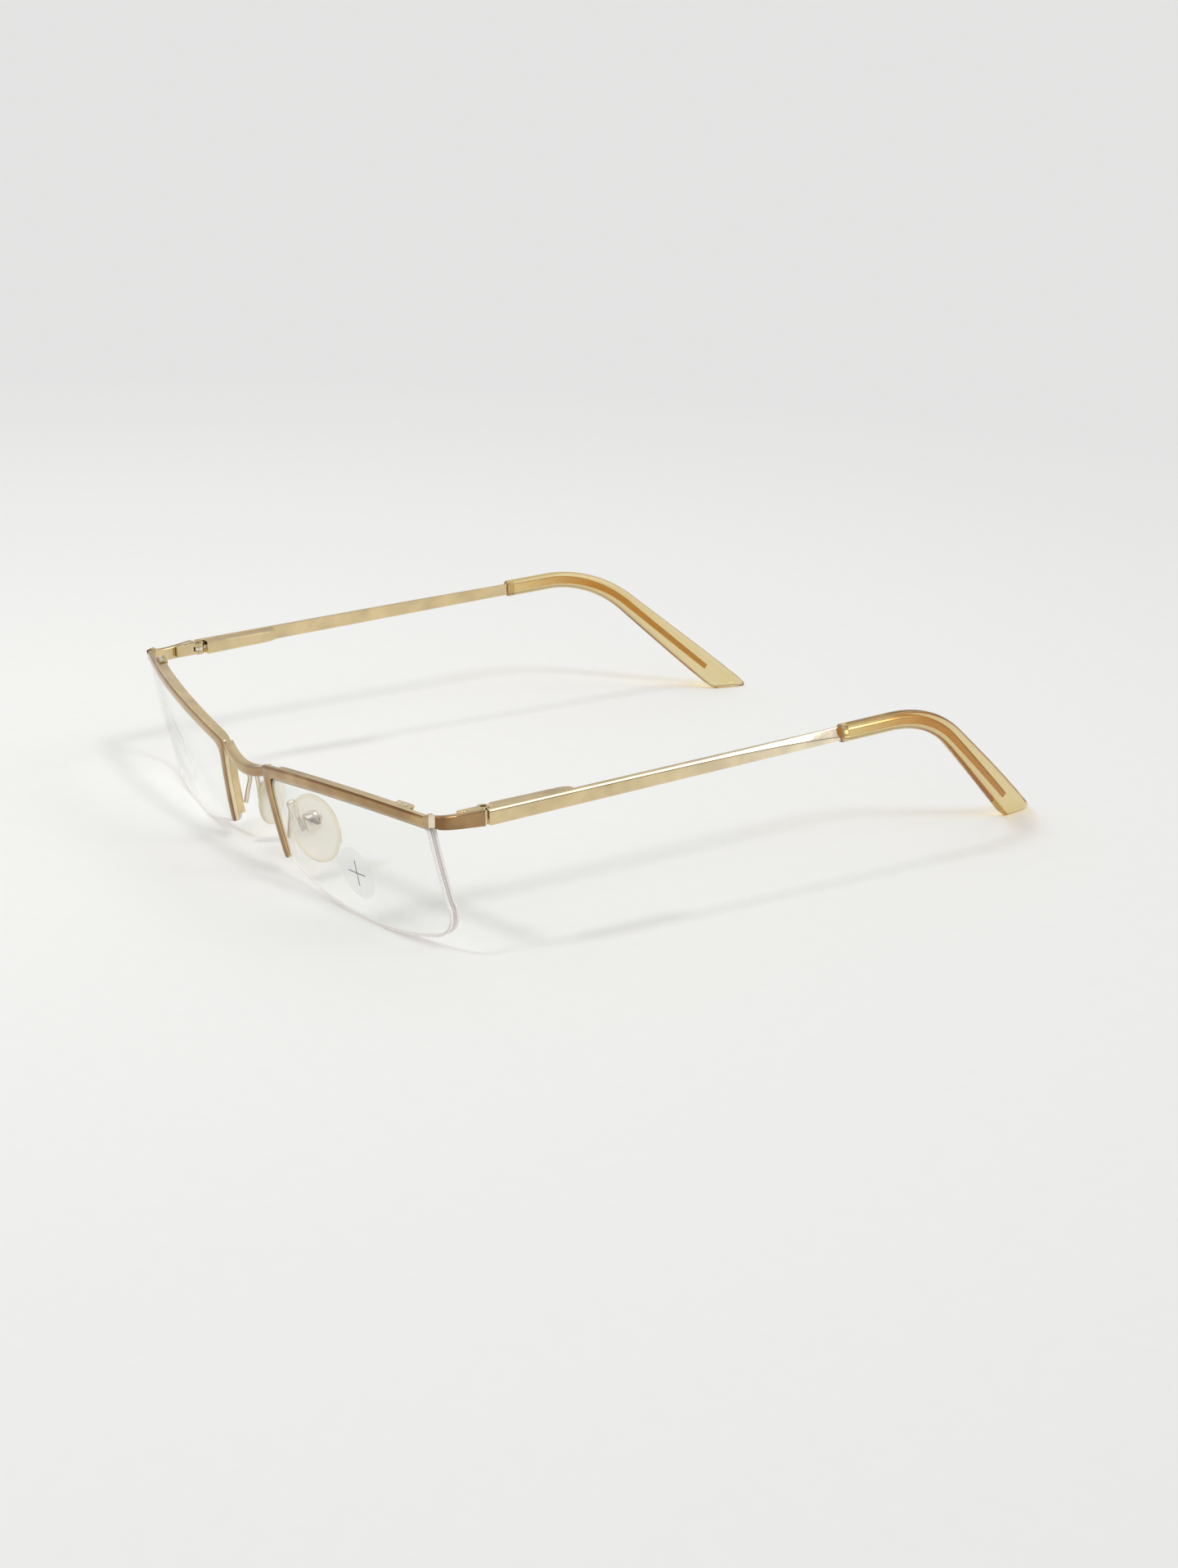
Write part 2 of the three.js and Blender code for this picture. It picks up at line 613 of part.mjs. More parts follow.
// From the end of the brow round the kink and back to the temple joint, sagging on the way.
function endpieceGeometry() {
  const thick = ENDPIECE_THICKNESS;
  const start = BROW_END_U + SOLDER_GAP;
  const browV = browAt(BROW_END_U);
  const half = ENDPIECE_HEIGHT / 2;
  const first = [
    onFront(start, 0, browV + half), onFront(start, 0, browV - half),
    onFront(start, thick, browV - half), onFront(start, thick, browV + half),
  ];
  const rise = vector(0, 0, half);
  const atKink = [
    kink.clone().add(rise), kink.clone().sub(rise), mitre.clone().sub(rise), mitre.clone().add(rise),
  ];
  const onHinge = (x, z) => vector(x, ENDPIECE_BACK, z - TEMPLE_DROP).applyMatrix4(hinge.matrix);
  const top = TEMPLE_FRONT_HEIGHT / 2;
  const last = [
    onHinge(SCREW_INSET, top), onHinge(SCREW_INSET, -top),
    onHinge(ENDPIECE_INNER, -top), onHinge(ENDPIECE_INNER, top),
  ];
  const side = along(0, 1, ENDPIECE_STEPS, (share) => {
    const sag = vector(0, 0, -ENDPIECE_SAG * Math.sin(Math.PI * Math.sqrt(share)));
    return atKink.map((here, i) => here.clone().lerp(last[i], share).add(sag));
  });
  return skin([first, ...side]);
}

// The inner face of the endpiece at a place along it, in the hinge's frame.
function endpieceInnerAt(y) {
  const bend = mitre.clone().applyMatrix4(hinge.matrix.clone().invert());
  return mix(ENDPIECE_INNER, bend.x, (ENDPIECE_BACK - y) / (ENDPIECE_BACK - bend.y));
}

// Pieces of the hinge, in the hinge's frame: the screw stands at its origin, the temple runs
// back along Y and its outer face is at X = SCREW_INSET.

const STACK = TONGUE_HEIGHT / 2 + FIT + EYELET_HEIGHT;
const BORE_RADIUS = SCREW_RADIUS + FIT;
const LUG_FACE = -EYELET_RADIUS - EYELET_CLEARANCE;
const INNER_FACE = SCREW_INSET - TEMPLE_THICKNESS;

// A block on the inside of the endpiece, with an upper and a lower eyelet.
function lugGeometry() {
  const gap = STACK - EYELET_HEIGHT;
  const ring = (y) => {
    const outer = endpieceInnerAt(y) - SOLDER_GAP;
    const corners = [[-LUG_WEB_INNER, -STACK], [outer, -STACK], [outer, STACK], [-LUG_WEB_INNER, STACK]];
    return corners.map(([x, z]) => vector(x, y, z));
  };
  const base = skin([ring(LUG_FACE - LUG_LENGTH), ring(LUG_FACE)]);
  const arm = (low, high) => join(
    uprightBar(EYELET_RADIUS, low, high),
    block(vector(-LUG_WEB_INNER, LUG_FACE - FIT, low), vector(LUG_WEB_OUTER, 0, high)),
  );
  const whole = join(base, arm(gap, STACK), arm(-STACK, -gap));
  return cut(whole, uprightBar(BORE_RADIUS, -2 * STACK, 2 * STACK));
}

function screwGeometry() {
  const headLow = STACK + FIT;
  const headHigh = headLow + SCREW_HEAD_HEIGHT;
  const shank = uprightBar(SCREW_RADIUS, -STACK, headLow + FIT);
  const head = uprightBar(SCREW_HEAD_RADIUS, headLow, headHigh);
  const reach = 2 * SCREW_HEAD_RADIUS;
  const slot = block(
    vector(-reach, -SLOT_WIDTH / 2, headHigh - SLOT_DEPTH),
    vector(reach, SLOT_WIDTH / 2, headHigh + SLOT_DEPTH),
  );
  return cut(join(head, shank), slot);
}

// The middle eyelet and the shank that slides in the spring box.
function tongueGeometry() {
  const half = TONGUE_HEIGHT / 2;
  const eyelet = uprightBar(EYELET_RADIUS, -half, half);
  const shank = lyingBar(SHANK_RADIUS, (BORE_RADIUS + EYELET_RADIUS) / 2, SHANK_LENGTH);
  return cut(join(eyelet, shank), uprightBar(BORE_RADIUS, -STACK, STACK));
}

const STOP_FRONT = SHANK_LENGTH - STOP_MARGIN - STOP_LENGTH;

// The collar near the end of the shank.
function stopGeometry() {
  const collar = lyingBar(STOP_RADIUS, STOP_FRONT, STOP_FRONT + STOP_LENGTH);
  return cut(collar, lyingBar(SHANK_RADIUS + FIT, 0, SPRING_BOX_LENGTH));
}

const BOX_FRONT = SPRING_BOX_SETBACK;
const BOX_BACK = SPRING_BOX_SETBACK + SPRING_BOX_LENGTH;
const SPRING_FRONT = BOX_FRONT + SPRING_BOX_WALL + FIT;
const SPRING_BACK = STOP_FRONT - FIT;

// The coil round the shank, between the front wall of the box and the collar.
function springGeometry() {
  const coil = (SHANK_RADIUS + SPRING_BOX_BORE) / 2;
  const steps = CURL_STEPS * SPRING_TURNS;
  const low = SPRING_FRONT + 2 * SPRING_WIRE_RADIUS;
  const high = SPRING_BACK - 2 * SPRING_WIRE_RADIUS;
  const points = along(low, high, steps, (y, share) => {
    const angle = 2 * Math.PI * SPRING_TURNS * share;
    return vector(coil * Math.cos(angle), y, coil * Math.sin(angle));
  });
  const apart = points.slice(CURL_STEPS).map((here, i) => here.distanceTo(points[i]));
  const gap = Math.min(...apart) - 2 * SPRING_WIRE_RADIUS;
  console.log('flex spring: least gap between turns', gap.toFixed(2), 'mm');
  return wire(points, SPRING_WIRE_RADIUS, steps, CURL_SIDES);
}

// The housing on the inside of the temple: its bore is open at the front through the shank hole.
function springBoxGeometry() {
  const outer = INNER_FACE - SOLDER_GAP;
  const side = vector(1, 0, 0);
  const up = vector(0, 0, 1);
  const ring = (y, depth, height) =>
    barRing(vector(outer - depth / 2, y, -TEMPLE_DROP / 2), side, up, depth, height);
  const shoulder = BOX_BACK - SPRING_BOX_ROUND;
  const slim = (SPRING_BOX_DEPTH - SPRING_BOX_END_DEPTH) / SPRING_BOX_ROUND;
  const shell = skin([
    ring(BOX_FRONT, SPRING_BOX_DEPTH, SPRING_BOX_HEIGHT),
    ring(shoulder, SPRING_BOX_DEPTH, SPRING_BOX_REAR_HEIGHT),
    ...rounding((ahead, inset) => ring(
      shoulder + ahead, SPRING_BOX_DEPTH - slim * inset, SPRING_BOX_REAR_HEIGHT,
    ), SPRING_BOX_ROUND),
  ]);
  const bore = lyingBar(SPRING_BOX_BORE, BOX_FRONT + SPRING_BOX_WALL, SHANK_LENGTH + SPRING_BOX_WALL);
  const hole = lyingBar(
    SHANK_RADIUS + FIT, BOX_FRONT - SPRING_BOX_WALL, BOX_FRONT + 2 * SPRING_BOX_WALL,
  );
  return cut(shell, bore, hole);
}

// Pieces of the temple, in the hinge's frame

const BEND_LENGTH = BEND_RADIUS * DROP_ANGLE;
const TEMPLE_LENGTH = BEND_START + BEND_LENGTH + DROP_LENGTH;
const TEMPLE_MIDDLE = SCREW_INSET - TEMPLE_THICKNESS / 2;

// Middle line of the temple at a length from the screw: straight, round the bend, then straight
// down, curving in towards the head from the bend on.
function templeAt(length) {
  const turned = THREE.MathUtils.clamp((length - BEND_START) / BEND_RADIUS, 0, DROP_ANGLE);
  const straight = Math.min(length, BEND_START);
  const dropped = Math.max(0, length - BEND_START - BEND_LENGTH);
  const y = straight + BEND_RADIUS * Math.sin(turned) + dropped * Math.cos(DROP_ANGLE);
  const z = -TEMPLE_DROP - BEND_RADIUS * (1 - Math.cos(turned)) - dropped * Math.sin(DROP_ANGLE);
  const inward = Math.max(0, y - BEND_START) / TIP_INWARD_LENGTH;
  const middle = vector(TEMPLE_MIDDLE - TIP_INWARD * inward ** TIP_INWARD_POWER, y, z);
  return { middle, up: vector(0, Math.sin(turned), Math.cos(turned)), side: vector(1, 0, 0) };
}

function coreRings(growth, from, to, steps) {
  return along(from, to, steps, (length) => {
    const { middle, up, side } = templeAt(length);
    return barRing(middle, side, up, CORE_THICKNESS + 2 * growth, CORE_HEIGHT + 2 * growth);
  });
}

const CORE_END = TEMPLE_LENGTH - CORE_END_MARGIN;

// The flat bar, and its thinner core that runs on inside the tip.
function templeGeometry() {
  const start = JOINT_GAP / 2 - SCREW_SETBACK;
  const bar = along(start, TIP_START - SOLDER_GAP, TEMPLE_STEPS, (length, share) => {
    const { middle, up, side } = templeAt(length);
    const height = mix(TEMPLE_FRONT_HEIGHT, TEMPLE_REAR_HEIGHT, share);
    return barRing(middle, side, up, TEMPLE_THICKNESS, height);
  });
  return skin([...bar, ...coreRings(0, TIP_START, CORE_END, TIP_STEPS)]);
}

// The sleeve over the core, flared towards its end and trimmed level with the table.
function tipGeometry() {
  const ring = (length, inset) => {
    const { middle, up, side } = templeAt(length);
    const flare = THREE.MathUtils.smoothstep(length, BEND_START, TEMPLE_LENGTH);
    const thickness = mix(TIP_THICKNESS, TIP_END_THICKNESS, flare);
    const height = mix(TIP_HEIGHT, TIP_FLARE_HEIGHT, flare);
    return sleeveRing(middle, side, up, thickness - 2 * inset, height - 2 * inset);
  };
  const full = TIP_START + TIP_ROUND;
  const mouth = rounding((ahead, inset) => ring(full - ahead, inset), TIP_ROUND);
  const sleeve = [...mouth.reverse(), ...along(full, TEMPLE_LENGTH, TIP_STEPS, (length) => ring(length, 0))];
  const bore = skin(coreRings(FIT, TIP_START - SOLDER_GAP, CORE_END + SOLDER_GAP, TIP_STEPS));
  const below = new THREE.BoxGeometry(TEMPLE_LENGTH, 2 * TEMPLE_LENGTH, TEMPLE_LENGTH);
  below.translate(hinge.position.x, TEMPLE_LENGTH, TABLE - TEMPLE_LENGTH / 2);
  below.applyMatrix4(hinge.matrix.clone().invert());
  return cut(skin(sleeve), bore, below);
}

// Pieces of the nose pad, in the pad's frame: X points from the nose to the lens, Y runs back
// and Z runs up the length of the pad.

const PAD_BACK = PAD_THICKNESS / 2;
const BOX_FACE = PAD_BACK + PAD_GAP;
const PAD_SCREW_X = BOX_FACE + (PAD_BOX_DEPTH - PAD_BOX_WALL) / 2;

// An oval cushion, domed towards the nose and flat behind, with a seat for its stem.
function padGeometry() {
  const oval = (x, halfWidth, halfLength) => {
    const ring = [];
    for (let i = 0; i < OVAL_SIDES; i++) {
      const angle = 2 * Math.PI * i / OVAL_SIDES;
      ring.push(vector(x, halfWidth * Math.cos(angle), halfLength * Math.sin(angle)));
    }
    return ring;
  };
  const dome = [];
  for (let i = 1; i <= ROUND_STEPS; i++) {
    const angle = Math.PI / 2 * i / ROUND_STEPS;
    const share = Math.sin(angle);
    dome.push(oval(-PAD_BACK * Math.cos(angle), PAD_HALF_WIDTH * share, PAD_HALF_LENGTH * share));
  }
  const rim = rounding((ahead, inset) => oval(
    PAD_BACK - PAD_EDGE + ahead, PAD_HALF_WIDTH - inset, PAD_HALF_LENGTH - inset,
  ), PAD_EDGE);
  const cushion = skin([...dome, ...rim], vector(-PAD_BACK, 0, 0));
  const half = PAD_STEM_WIDTH / 2 + FIT;
  const rise = PAD_STEM_HEIGHT / 2 + FIT;
  const seat = block(
    vector(PAD_BACK - PAD_STEM_BITE - FIT, -half, PAD_BOX_RISE - rise),
    vector(PAD_BACK + PAD_STEM_BITE, half, PAD_BOX_RISE + rise),
  );
  return cut(cushion, seat);
}

const padScrewBar = (radius, start, end) =>
  lyingBar(radius, start, end).translate(PAD_SCREW_X, 0, PAD_BOX_RISE);

// The metal lug moulded in the pad, which turns on the pad screw.
function stemGeometry() {
  const lug = block(
    vector(PAD_BACK - PAD_STEM_BITE, -PAD_STEM_WIDTH / 2, PAD_BOX_RISE - PAD_STEM_HEIGHT / 2),
    vector(PAD_SCREW_X + PAD_STEM_WIDTH / 2, PAD_STEM_WIDTH / 2, PAD_BOX_RISE + PAD_STEM_HEIGHT / 2),
  );
  return cut(lug, padScrewBar(PAD_SCREW_RADIUS + FIT, -PAD_BOX_WIDTH, PAD_BOX_WIDTH));
}

// The cup that the stem sits in, open towards the pad.
function padBoxGeometry() {
  const half = PAD_BOX_WIDTH / 2;
  const rise = PAD_BOX_HEIGHT / 2;
  const ring = (x, width, height) =>
    barRing(vector(x, 0, PAD_BOX_RISE), vector(0, 1, 0), vector(0, 0, 1), width, height);
  const cup = skin([
    ring(BOX_FACE, PAD_BOX_WIDTH, PAD_BOX_HEIGHT),
    ring(BOX_FACE + PAD_BOX_SHOULDER, PAD_BOX_WIDTH, PAD_BOX_HEIGHT),
    ring(BOX_FACE + PAD_BOX_DEPTH, PAD_BOX_BACK_WIDTH, PAD_BOX_BACK_HEIGHT),
  ]);
  const hollow = block(
    vector(BOX_FACE - PAD_BOX_WALL, PAD_BOX_WALL - half, PAD_BOX_RISE - rise + PAD_BOX_WALL),
    vector(
      BOX_FACE + PAD_BOX_DEPTH - PAD_BOX_WALL, half - PAD_BOX_WALL, PAD_BOX_RISE + rise - PAD_BOX_WALL,
    ),
  );
  return cut(cup, hollow, padScrewBar(PAD_SCREW_RADIUS + FIT, -2 * half, 2 * half));
}

function padScrewGeometry() {
  const half = PAD_BOX_WIDTH / 2;
  const head = padScrewBar(PAD_SCREW_HEAD_RADIUS, half + FIT, half + FIT + PAD_SCREW_HEAD_HEIGHT);
  return join(head, padScrewBar(PAD_SCREW_RADIUS, -half, half + 2 * FIT));
}

// A wire up the back of the nose-side drop, over in an arch and down the front of the box.
function armGeometry() {
  const behind = RIM_BACK + ARM_RADIUS + SOLDER_GAP;
  const onDrop = (v, back) => onFront(nasalAt(v), behind + back, v);
  const beside = -PAD_BOX_WIDTH / 2 - ARM_RADIUS - SOLDER_GAP;
  const onBox = (above) =>
    vector(BOX_FACE + PAD_BOX_DEPTH / 2, beside, PAD_BOX_RISE + above).applyMatrix4(pad.matrix);
  const top = onDrop(ARM_TOP, ARM_LIFT);
  const landing = onBox(PAD_BOX_HEIGHT / 2);
  const arch = top.clone().lerp(landing, ARM_ARCH_SHARE).add(vector(0, 0, ARM_ARCH));
  const points = [
    onDrop(-ARM_FOOT, 0), onDrop(-ARM_FOOT / 2, ARM_LIFT / 2), onDrop(0, ARM_LIFT), top,
    arch, landing, onBox(-ARM_LANDING),
  ];
  return wire(points, ARM_RADIUS, ARM_STEPS, WIRE_SIDES);
}

// The whole, side by side

function addPieces(group, side, pieces) {
  for (const [name, geometry, material] of pieces) {
    const mesh = new THREE.Mesh(geometry, material);
    mesh.name = `${side}_${name}`;
    group.add(mesh);
  }
}

const frontPieces = [
  ['rim', rimGeometry(), GOLD],
  ['lens_channel', channelGeometry(), GOLD],
  ['rim_liner', linerGeometry(), NYLON],
  ['lens', lensGeometry(), CLEAR],
  ['nylon_cord', cordGeometry(), NYLON],
];
const hingePieces = [
  ['hinge_lug', lugGeometry(), GOLD],
  ['hinge_screw', screwGeometry(), STEEL],
  ['flex_tongue', tongueGeometry(), STEEL],
  ['spring_stop', stopGeometry(), STEEL],
  ['flex_spring', springGeometry(), STEEL],
  ['spring_box', springBoxGeometry(), GOLD],
  ['temple_bar', templeGeometry(), GOLD],
  ['temple_tip', tipGeometry(), AMBER],
];
const padPieces = [
  ['nose_pad', padGeometry(), CREAM],
  ['pad_stem', stemGeometry(), STEEL],
  ['pad_box', padBoxGeometry(), STEEL],
  ['pad_screw', padScrewGeometry(), STEEL],
];
const framePieces = [
  ['endpiece', endpieceGeometry(), GOLD],
  ['pad_arm', armGeometry(), STEEL],
];

const glasses = new THREE.Group();
for (const [side, mirror] of [['left', 1], ['right', -1]]) {
  const half = new THREE.Group();
  half.scale.x = mirror;
  const sideFront = front.clone();
  const sideHinge = hinge.clone();
  const sidePad = pad.clone();
  addPieces(sideFront, side, frontPieces);
  addPieces(sideHinge, side, hingePieces);
  addPieces(sidePad, side, padPieces);
  addPieces(half, side, framePieces);
  half.add(sideFront, sideHinge, sidePad);
  glasses.add(half);
}
const bridge = new THREE.Mesh(bridgeGeometry(), GOLD);
bridge.name = 'bridge';
glasses.add(bridge);

glasses.updateMatrixWorld(true);
const bounds = new THREE.Box3().setFromObject(glasses, true);
const middle = bounds.getCenter(vector(0, 0, 0));
glasses.position.set(-middle.x, -middle.y, -bounds.min.z);

export default glasses;
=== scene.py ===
# Half-rim eyeglasses with a gold-plated front, cord-held lenses and amber temple tips.
# They stand open on a table. Shapes are drawn in millimetres and finished in metres.

import math

import bmesh
import bpy
from mathutils import Matrix, Vector


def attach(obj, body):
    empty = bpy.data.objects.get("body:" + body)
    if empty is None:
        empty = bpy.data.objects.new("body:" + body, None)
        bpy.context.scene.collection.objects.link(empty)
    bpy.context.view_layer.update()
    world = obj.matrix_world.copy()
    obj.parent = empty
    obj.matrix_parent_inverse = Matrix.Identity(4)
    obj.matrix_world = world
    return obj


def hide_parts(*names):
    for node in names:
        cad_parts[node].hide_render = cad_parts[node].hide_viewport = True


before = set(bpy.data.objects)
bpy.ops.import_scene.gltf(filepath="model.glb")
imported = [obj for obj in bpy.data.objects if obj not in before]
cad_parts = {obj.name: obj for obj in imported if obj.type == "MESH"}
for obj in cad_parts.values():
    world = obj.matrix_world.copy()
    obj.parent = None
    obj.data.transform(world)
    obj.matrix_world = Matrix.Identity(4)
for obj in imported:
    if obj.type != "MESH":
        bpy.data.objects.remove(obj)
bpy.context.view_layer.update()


# Rims. Each is one drawn bar of nickel alloy, plated and lacquered in champagne gold. It runs along
# the brow, turns a filleted corner at the nose and ends in a short drop beside it. The front face is
# painted browner, partly as a lacquer tone and partly as painted dark reflection, and darkest along
# its outer front edge, which is painted reflection. A pale painted highlight runs along the
# nose-side edge of the drop.

MM = 0.001
LENS_HALF_WIDTH = 26.85
LENS_BASE_RADIUS = 178
LENS_GAP = 0.15
SOLDER_GAP = 0.12
SEAM = 0.01
FRONT_PLACE = Vector((38.25, -73.2398, 13.4099))
PANTOSCOPIC_TILT = math.radians(10.4)
FACE_FORM = math.radians(8.4)
FRONT_TURN = Matrix.Rotation(PANTOSCOPIC_TILT, 3, "X") @ Matrix.Rotation(FACE_FORM, 3, "Z")
BAR_HEIGHT = 2.2
BAR_DEPTH = 1.2
BAR_EDGE = 0.34
BAR_CROWN = 0.2
BROW_NOSE_HEIGHT = 9.3
BROW_TEMPLE_HEIGHT = 12.2
BROW_CROWN = 1.74
BROW_END_INSET = 2.2
NASAL_SLANT = 2.1
NASAL_FOOT = 7.5
NASAL_FOOT_ROUND = 0.8
NOSE_FILLET = 3.2
NOSE_CORNER = 0.8
BROW_RINGS = 48
CORNER_RINGS = 12
DROP_RINGS = 16
BAR_CENTRE = BAR_HEIGHT / 2 + LENS_GAP
NASAL_TOP = -LENS_HALF_WIDTH - BAR_CENTRE
BROW_END = LENS_HALF_WIDTH - BROW_END_INSET
CHAMPAGNE = "#E2CCA0"
BRONZE = "#B4956C"
DARK_BRONZE = "#8A6644"
# The colour of the painted highlights on the gold and on the brass core.
HIGHLIGHT_GOLD = "#FBEFD6"
POLISH_PATCH = 5.0
POLISH_GRAIN = 0.35
POLISH_DEPTH = 0.02
# The lacquer shares are partly lacquer tone and partly painted dark reflection; the edge share is painted
# reflection.
LACQUER_AND_REFLECTION_CLOUD = 8.0
BROW_LACQUER_AND_REFLECTION = 0.5
DROP_LACQUER_AND_REFLECTION = 0.75
EDGE_PAINTED_REFLECTION = 0.95
DROP_PAINTED_HIGHLIGHT = 0.6


def mix(start, end, share):
    return start + (end - start) * share


def shares(count):
    return [i / count for i in range(count + 1)]


def quarter(count):
    """Sine and cosine in even steps over a quarter turn."""
    return [(math.sin(math.pi / 2 * share), math.cos(math.pi / 2 * share)) for share in shares(count)]


def brow_at(u):
    share = (u - NASAL_TOP) / (BROW_END - NASAL_TOP)
    return mix(BROW_NOSE_HEIGHT, BROW_TEMPLE_HEIGHT, share) + 4 * BROW_CROWN * share * (1 - share)


def nasal_at(v):
    share = (BROW_NOSE_HEIGHT - v) / (BROW_NOSE_HEIGHT + NASAL_FOOT)
    return NASAL_TOP + NASAL_SLANT * share


def on_front(u, depth, v):
    """A point of the left half of the front: u runs out, v up, bent back over the ball of the lens."""
    sag = LENS_BASE_RADIUS - math.sqrt(LENS_BASE_RADIUS ** 2 - u * u - v * v)
    return FRONT_PLACE + FRONT_TURN @ Vector((u, depth + sag, v))


def rounded_corner(start, tip, end, count):
    bend = []
    for share in shares(count):
        bend.append(mix(mix(start, tip, share), mix(tip, end, share), share))
    return bend


def bar_section(depth, height, edge, crown=0.0, steps=4):
    """The outline of a bar as (depth, height) pairs, with rounded edges and a crowned front face."""
    outline = []
    corners = ((depth - edge, 1, 0), (edge, 1, 90), (edge, -1, 180), (depth - edge, -1, 270))
    for middle, above, turn in corners:
        for share in shares(steps):
            angle = math.radians(turn + 90 * share)
            across = middle + edge * math.cos(angle)
            outline.append((across, above * (height / 2 - edge) + edge * math.sin(angle)))
        if turn == 90:
            outline += [(0.0, (height / 2 - edge) * (1 - 2 * share)) for share in shares(8)[1:-1]]
    return [(max(d, crown * (2 * h / height) ** 2) if d < depth / 2 else d, h) for d, h in outline]


def skin(name, rings, start=None, end=None, crease=35):
    """A closed mesh, in metres, through rings of equal counts. Its ends are points or flat faces."""
    shape = bmesh.new()
    rows = [[shape.verts.new(point * MM) for point in ring] for ring in rings]
    for row, following in zip(rows, rows[1:]):
        for i in range(len(row)):
            shape.faces.new((row[i - 1], row[i], following[i], following[i - 1]))
    for row, tip in ((rows[0], start), (rows[-1], end)):
        if tip is None:
            shape.faces.new(row)
            continue
        middle = shape.verts.new(tip * MM)
        for i in range(len(row)):
            shape.faces.new((row[i - 1], row[i], middle))
    bmesh.ops.recalc_face_normals(shape, faces=shape.faces)
    mesh = bpy.data.meshes.new(name)
    shape.to_mesh(mesh)
    shape.free()
    return smoothed(mesh, crease)


def paint(mesh, name, values):
    """Keeps one number for each point of a mesh, for its material to read."""
    attribute = mesh.attributes.new(name, "FLOAT", "POINT")
    attribute.data.foreach_set("value", values + [0.0] * (len(mesh.vertices) - len(values)))


def placed(name, data):
    """A new object of the scene, at its origin."""
    made = bpy.data.objects.new(name, data)
    bpy.context.scene.collection.objects.link(made)
    return made


def smoothed(mesh, crease):
    mesh.shade_smooth()
    mesh.set_sharp_from_angle(angle=math.radians(crease))
    return mesh


def even_out(piece):
    """Evens the shading of the broad faces beside narrow bevels."""
    piece.modifiers.new("even_normals", "WEIGHTED_NORMAL").keep_sharp = True


def fit_pair(node, mesh, materials, body, part="piece"):
    """The left piece as drawn and the right one as its mirror image, each in place of its CAD solid."""
    made = []
    for side, mirrored in (("left", False), ("right", True)):
        shape = mesh.copy()
        if mirrored:
            shape.transform(Matrix.Scale(-1, 4, (1, 0, 0)))
            shape.flip_normals()
        for material in materials:
            shape.materials.append(material)
        piece = placed(f"{side}_{node}_{part}", shape)
        even_out(piece)
        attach(piece, body if body == "front" else f"{side}_{body}")
        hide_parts(f"{side}_{node}")
        made.append(piece)
    return made


def linear(hex_colour):
    """An sRGB hex colour as linear light."""
    parts = [int(hex_colour[i:i + 2], 16) / 255 for i in (1, 3, 5)]
    return [c / 12.92 if c <= 0.04045 else ((c + 0.055) / 1.055) ** 2.4 for c in parts] + [1.0]


def add_node(tree, kind, inputs, **settings):
    """Adds a node with its settings, and gives each named input a value or a link."""
    made = tree.nodes.new(kind)
    for name, value in settings.items():
        setattr(made, name, value)
    for key, value in inputs.items():
        if isinstance(value, bpy.types.NodeSocket):
            tree.links.new(value, made.inputs[key])
        else:
            made.inputs[key].default_value = value
    return made


def new_material(name):
    material = bpy.data.materials.new(name)
    material.use_nodes = True
    return material, material.node_tree, material.node_tree.nodes["Principled BSDF"]


def noise(tree, size, detail):
    """Noise in the space of the piece, in patches about this many millimetres wide."""
    place = add_node(tree, "ShaderNodeTexCoord", {})
    return add_node(tree, "ShaderNodeTexNoise", {
        "Vector": place.outputs["Object"], "Scale": 1 / (size * MM), "Detail": detail}).outputs["Fac"]


def painted(tree, name):
    """The number that paint() kept for each point."""
    return add_node(tree, "ShaderNodeAttribute", {}, attribute_name=name).outputs["Fac"]


def spread(tree, value, low, high, start=0.3, end=0.7):
    """A value between start and end turned into one between low and high. Noise lies near the middle."""
    return add_node(tree, "ShaderNodeMapRange", {
        "Value": value, "From Min": start, "From Max": end,
        "To Min": low, "To Max": high}).outputs["Result"]


def blend(tree, share, first, second, way="MIX"):
    """The first colour, mixed with the second or multiplied by it."""
    return add_node(tree, "ShaderNodeMix", {
        "Factor": share, 6: first, 7: second}, data_type="RGBA", blend_type=way).outputs[2]


def rim_rings():
    half = BAR_HEIGHT / 2
    nose_v = brow_at(NASAL_TOP + half) - half
    nose_tip = Vector((nasal_at(nose_v) + half, nose_v))
    fillet = NOSE_FILLET - LENS_GAP
    inner_start = Vector((nose_tip.x + fillet, brow_at(nose_tip.x + fillet) - half))
    inner_end = Vector((nasal_at(nose_v - fillet) + half, nose_v - fillet))
    outer_u = NASAL_TOP - half
    outer_tip = Vector((outer_u, brow_at(outer_u) + half))
    outer_start = Vector((outer_u + NOSE_CORNER, brow_at(outer_u + NOSE_CORNER) + half))
    outer_end = Vector((nasal_at(outer_tip.y - NOSE_CORNER) - half, outer_tip.y - NOSE_CORNER))
    pairs = []
    for share in shares(BROW_RINGS)[:-1]:
        low_u = mix(BROW_END + SOLDER_GAP - SEAM, inner_start.x, share)
        high_u = mix(BROW_END + SOLDER_GAP - SEAM, outer_start.x, share)
        pairs.append((Vector((low_u, brow_at(low_u) - half)), Vector((high_u, brow_at(high_u) + half))))
    inside = rounded_corner(inner_start, nose_tip, inner_end, CORNER_RINGS)
    outside = rounded_corner(outer_start, outer_tip, outer_end, CORNER_RINGS)
    pairs += zip(inside, outside)
    for share in shares(DROP_RINGS)[1:]:
        low_v = mix(inner_end.y, -NASAL_FOOT, share)
        high_v = mix(outer_end.y, -NASAL_FOOT, share)
        pairs.append((Vector((nasal_at(low_v) + half, low_v)), Vector((nasal_at(high_v) - half, high_v))))
    for sine, cosine in quarter(6)[1:]:
        v = -NASAL_FOOT - NASAL_FOOT_ROUND * sine
        width = half - NASAL_FOOT_ROUND * (1 - cosine)
        pairs.append((Vector((nasal_at(v) + width, v)), Vector((nasal_at(v) - width, v))))
    rings = []
    for low, high in pairs:
        edge_points = [mix(low, high, 0.5 + h / BAR_HEIGHT) for _, h in rim_section]
        rings.append([on_front(at.x, d, at.y) for at, (d, _) in zip(edge_points, rim_section)])
    return rings
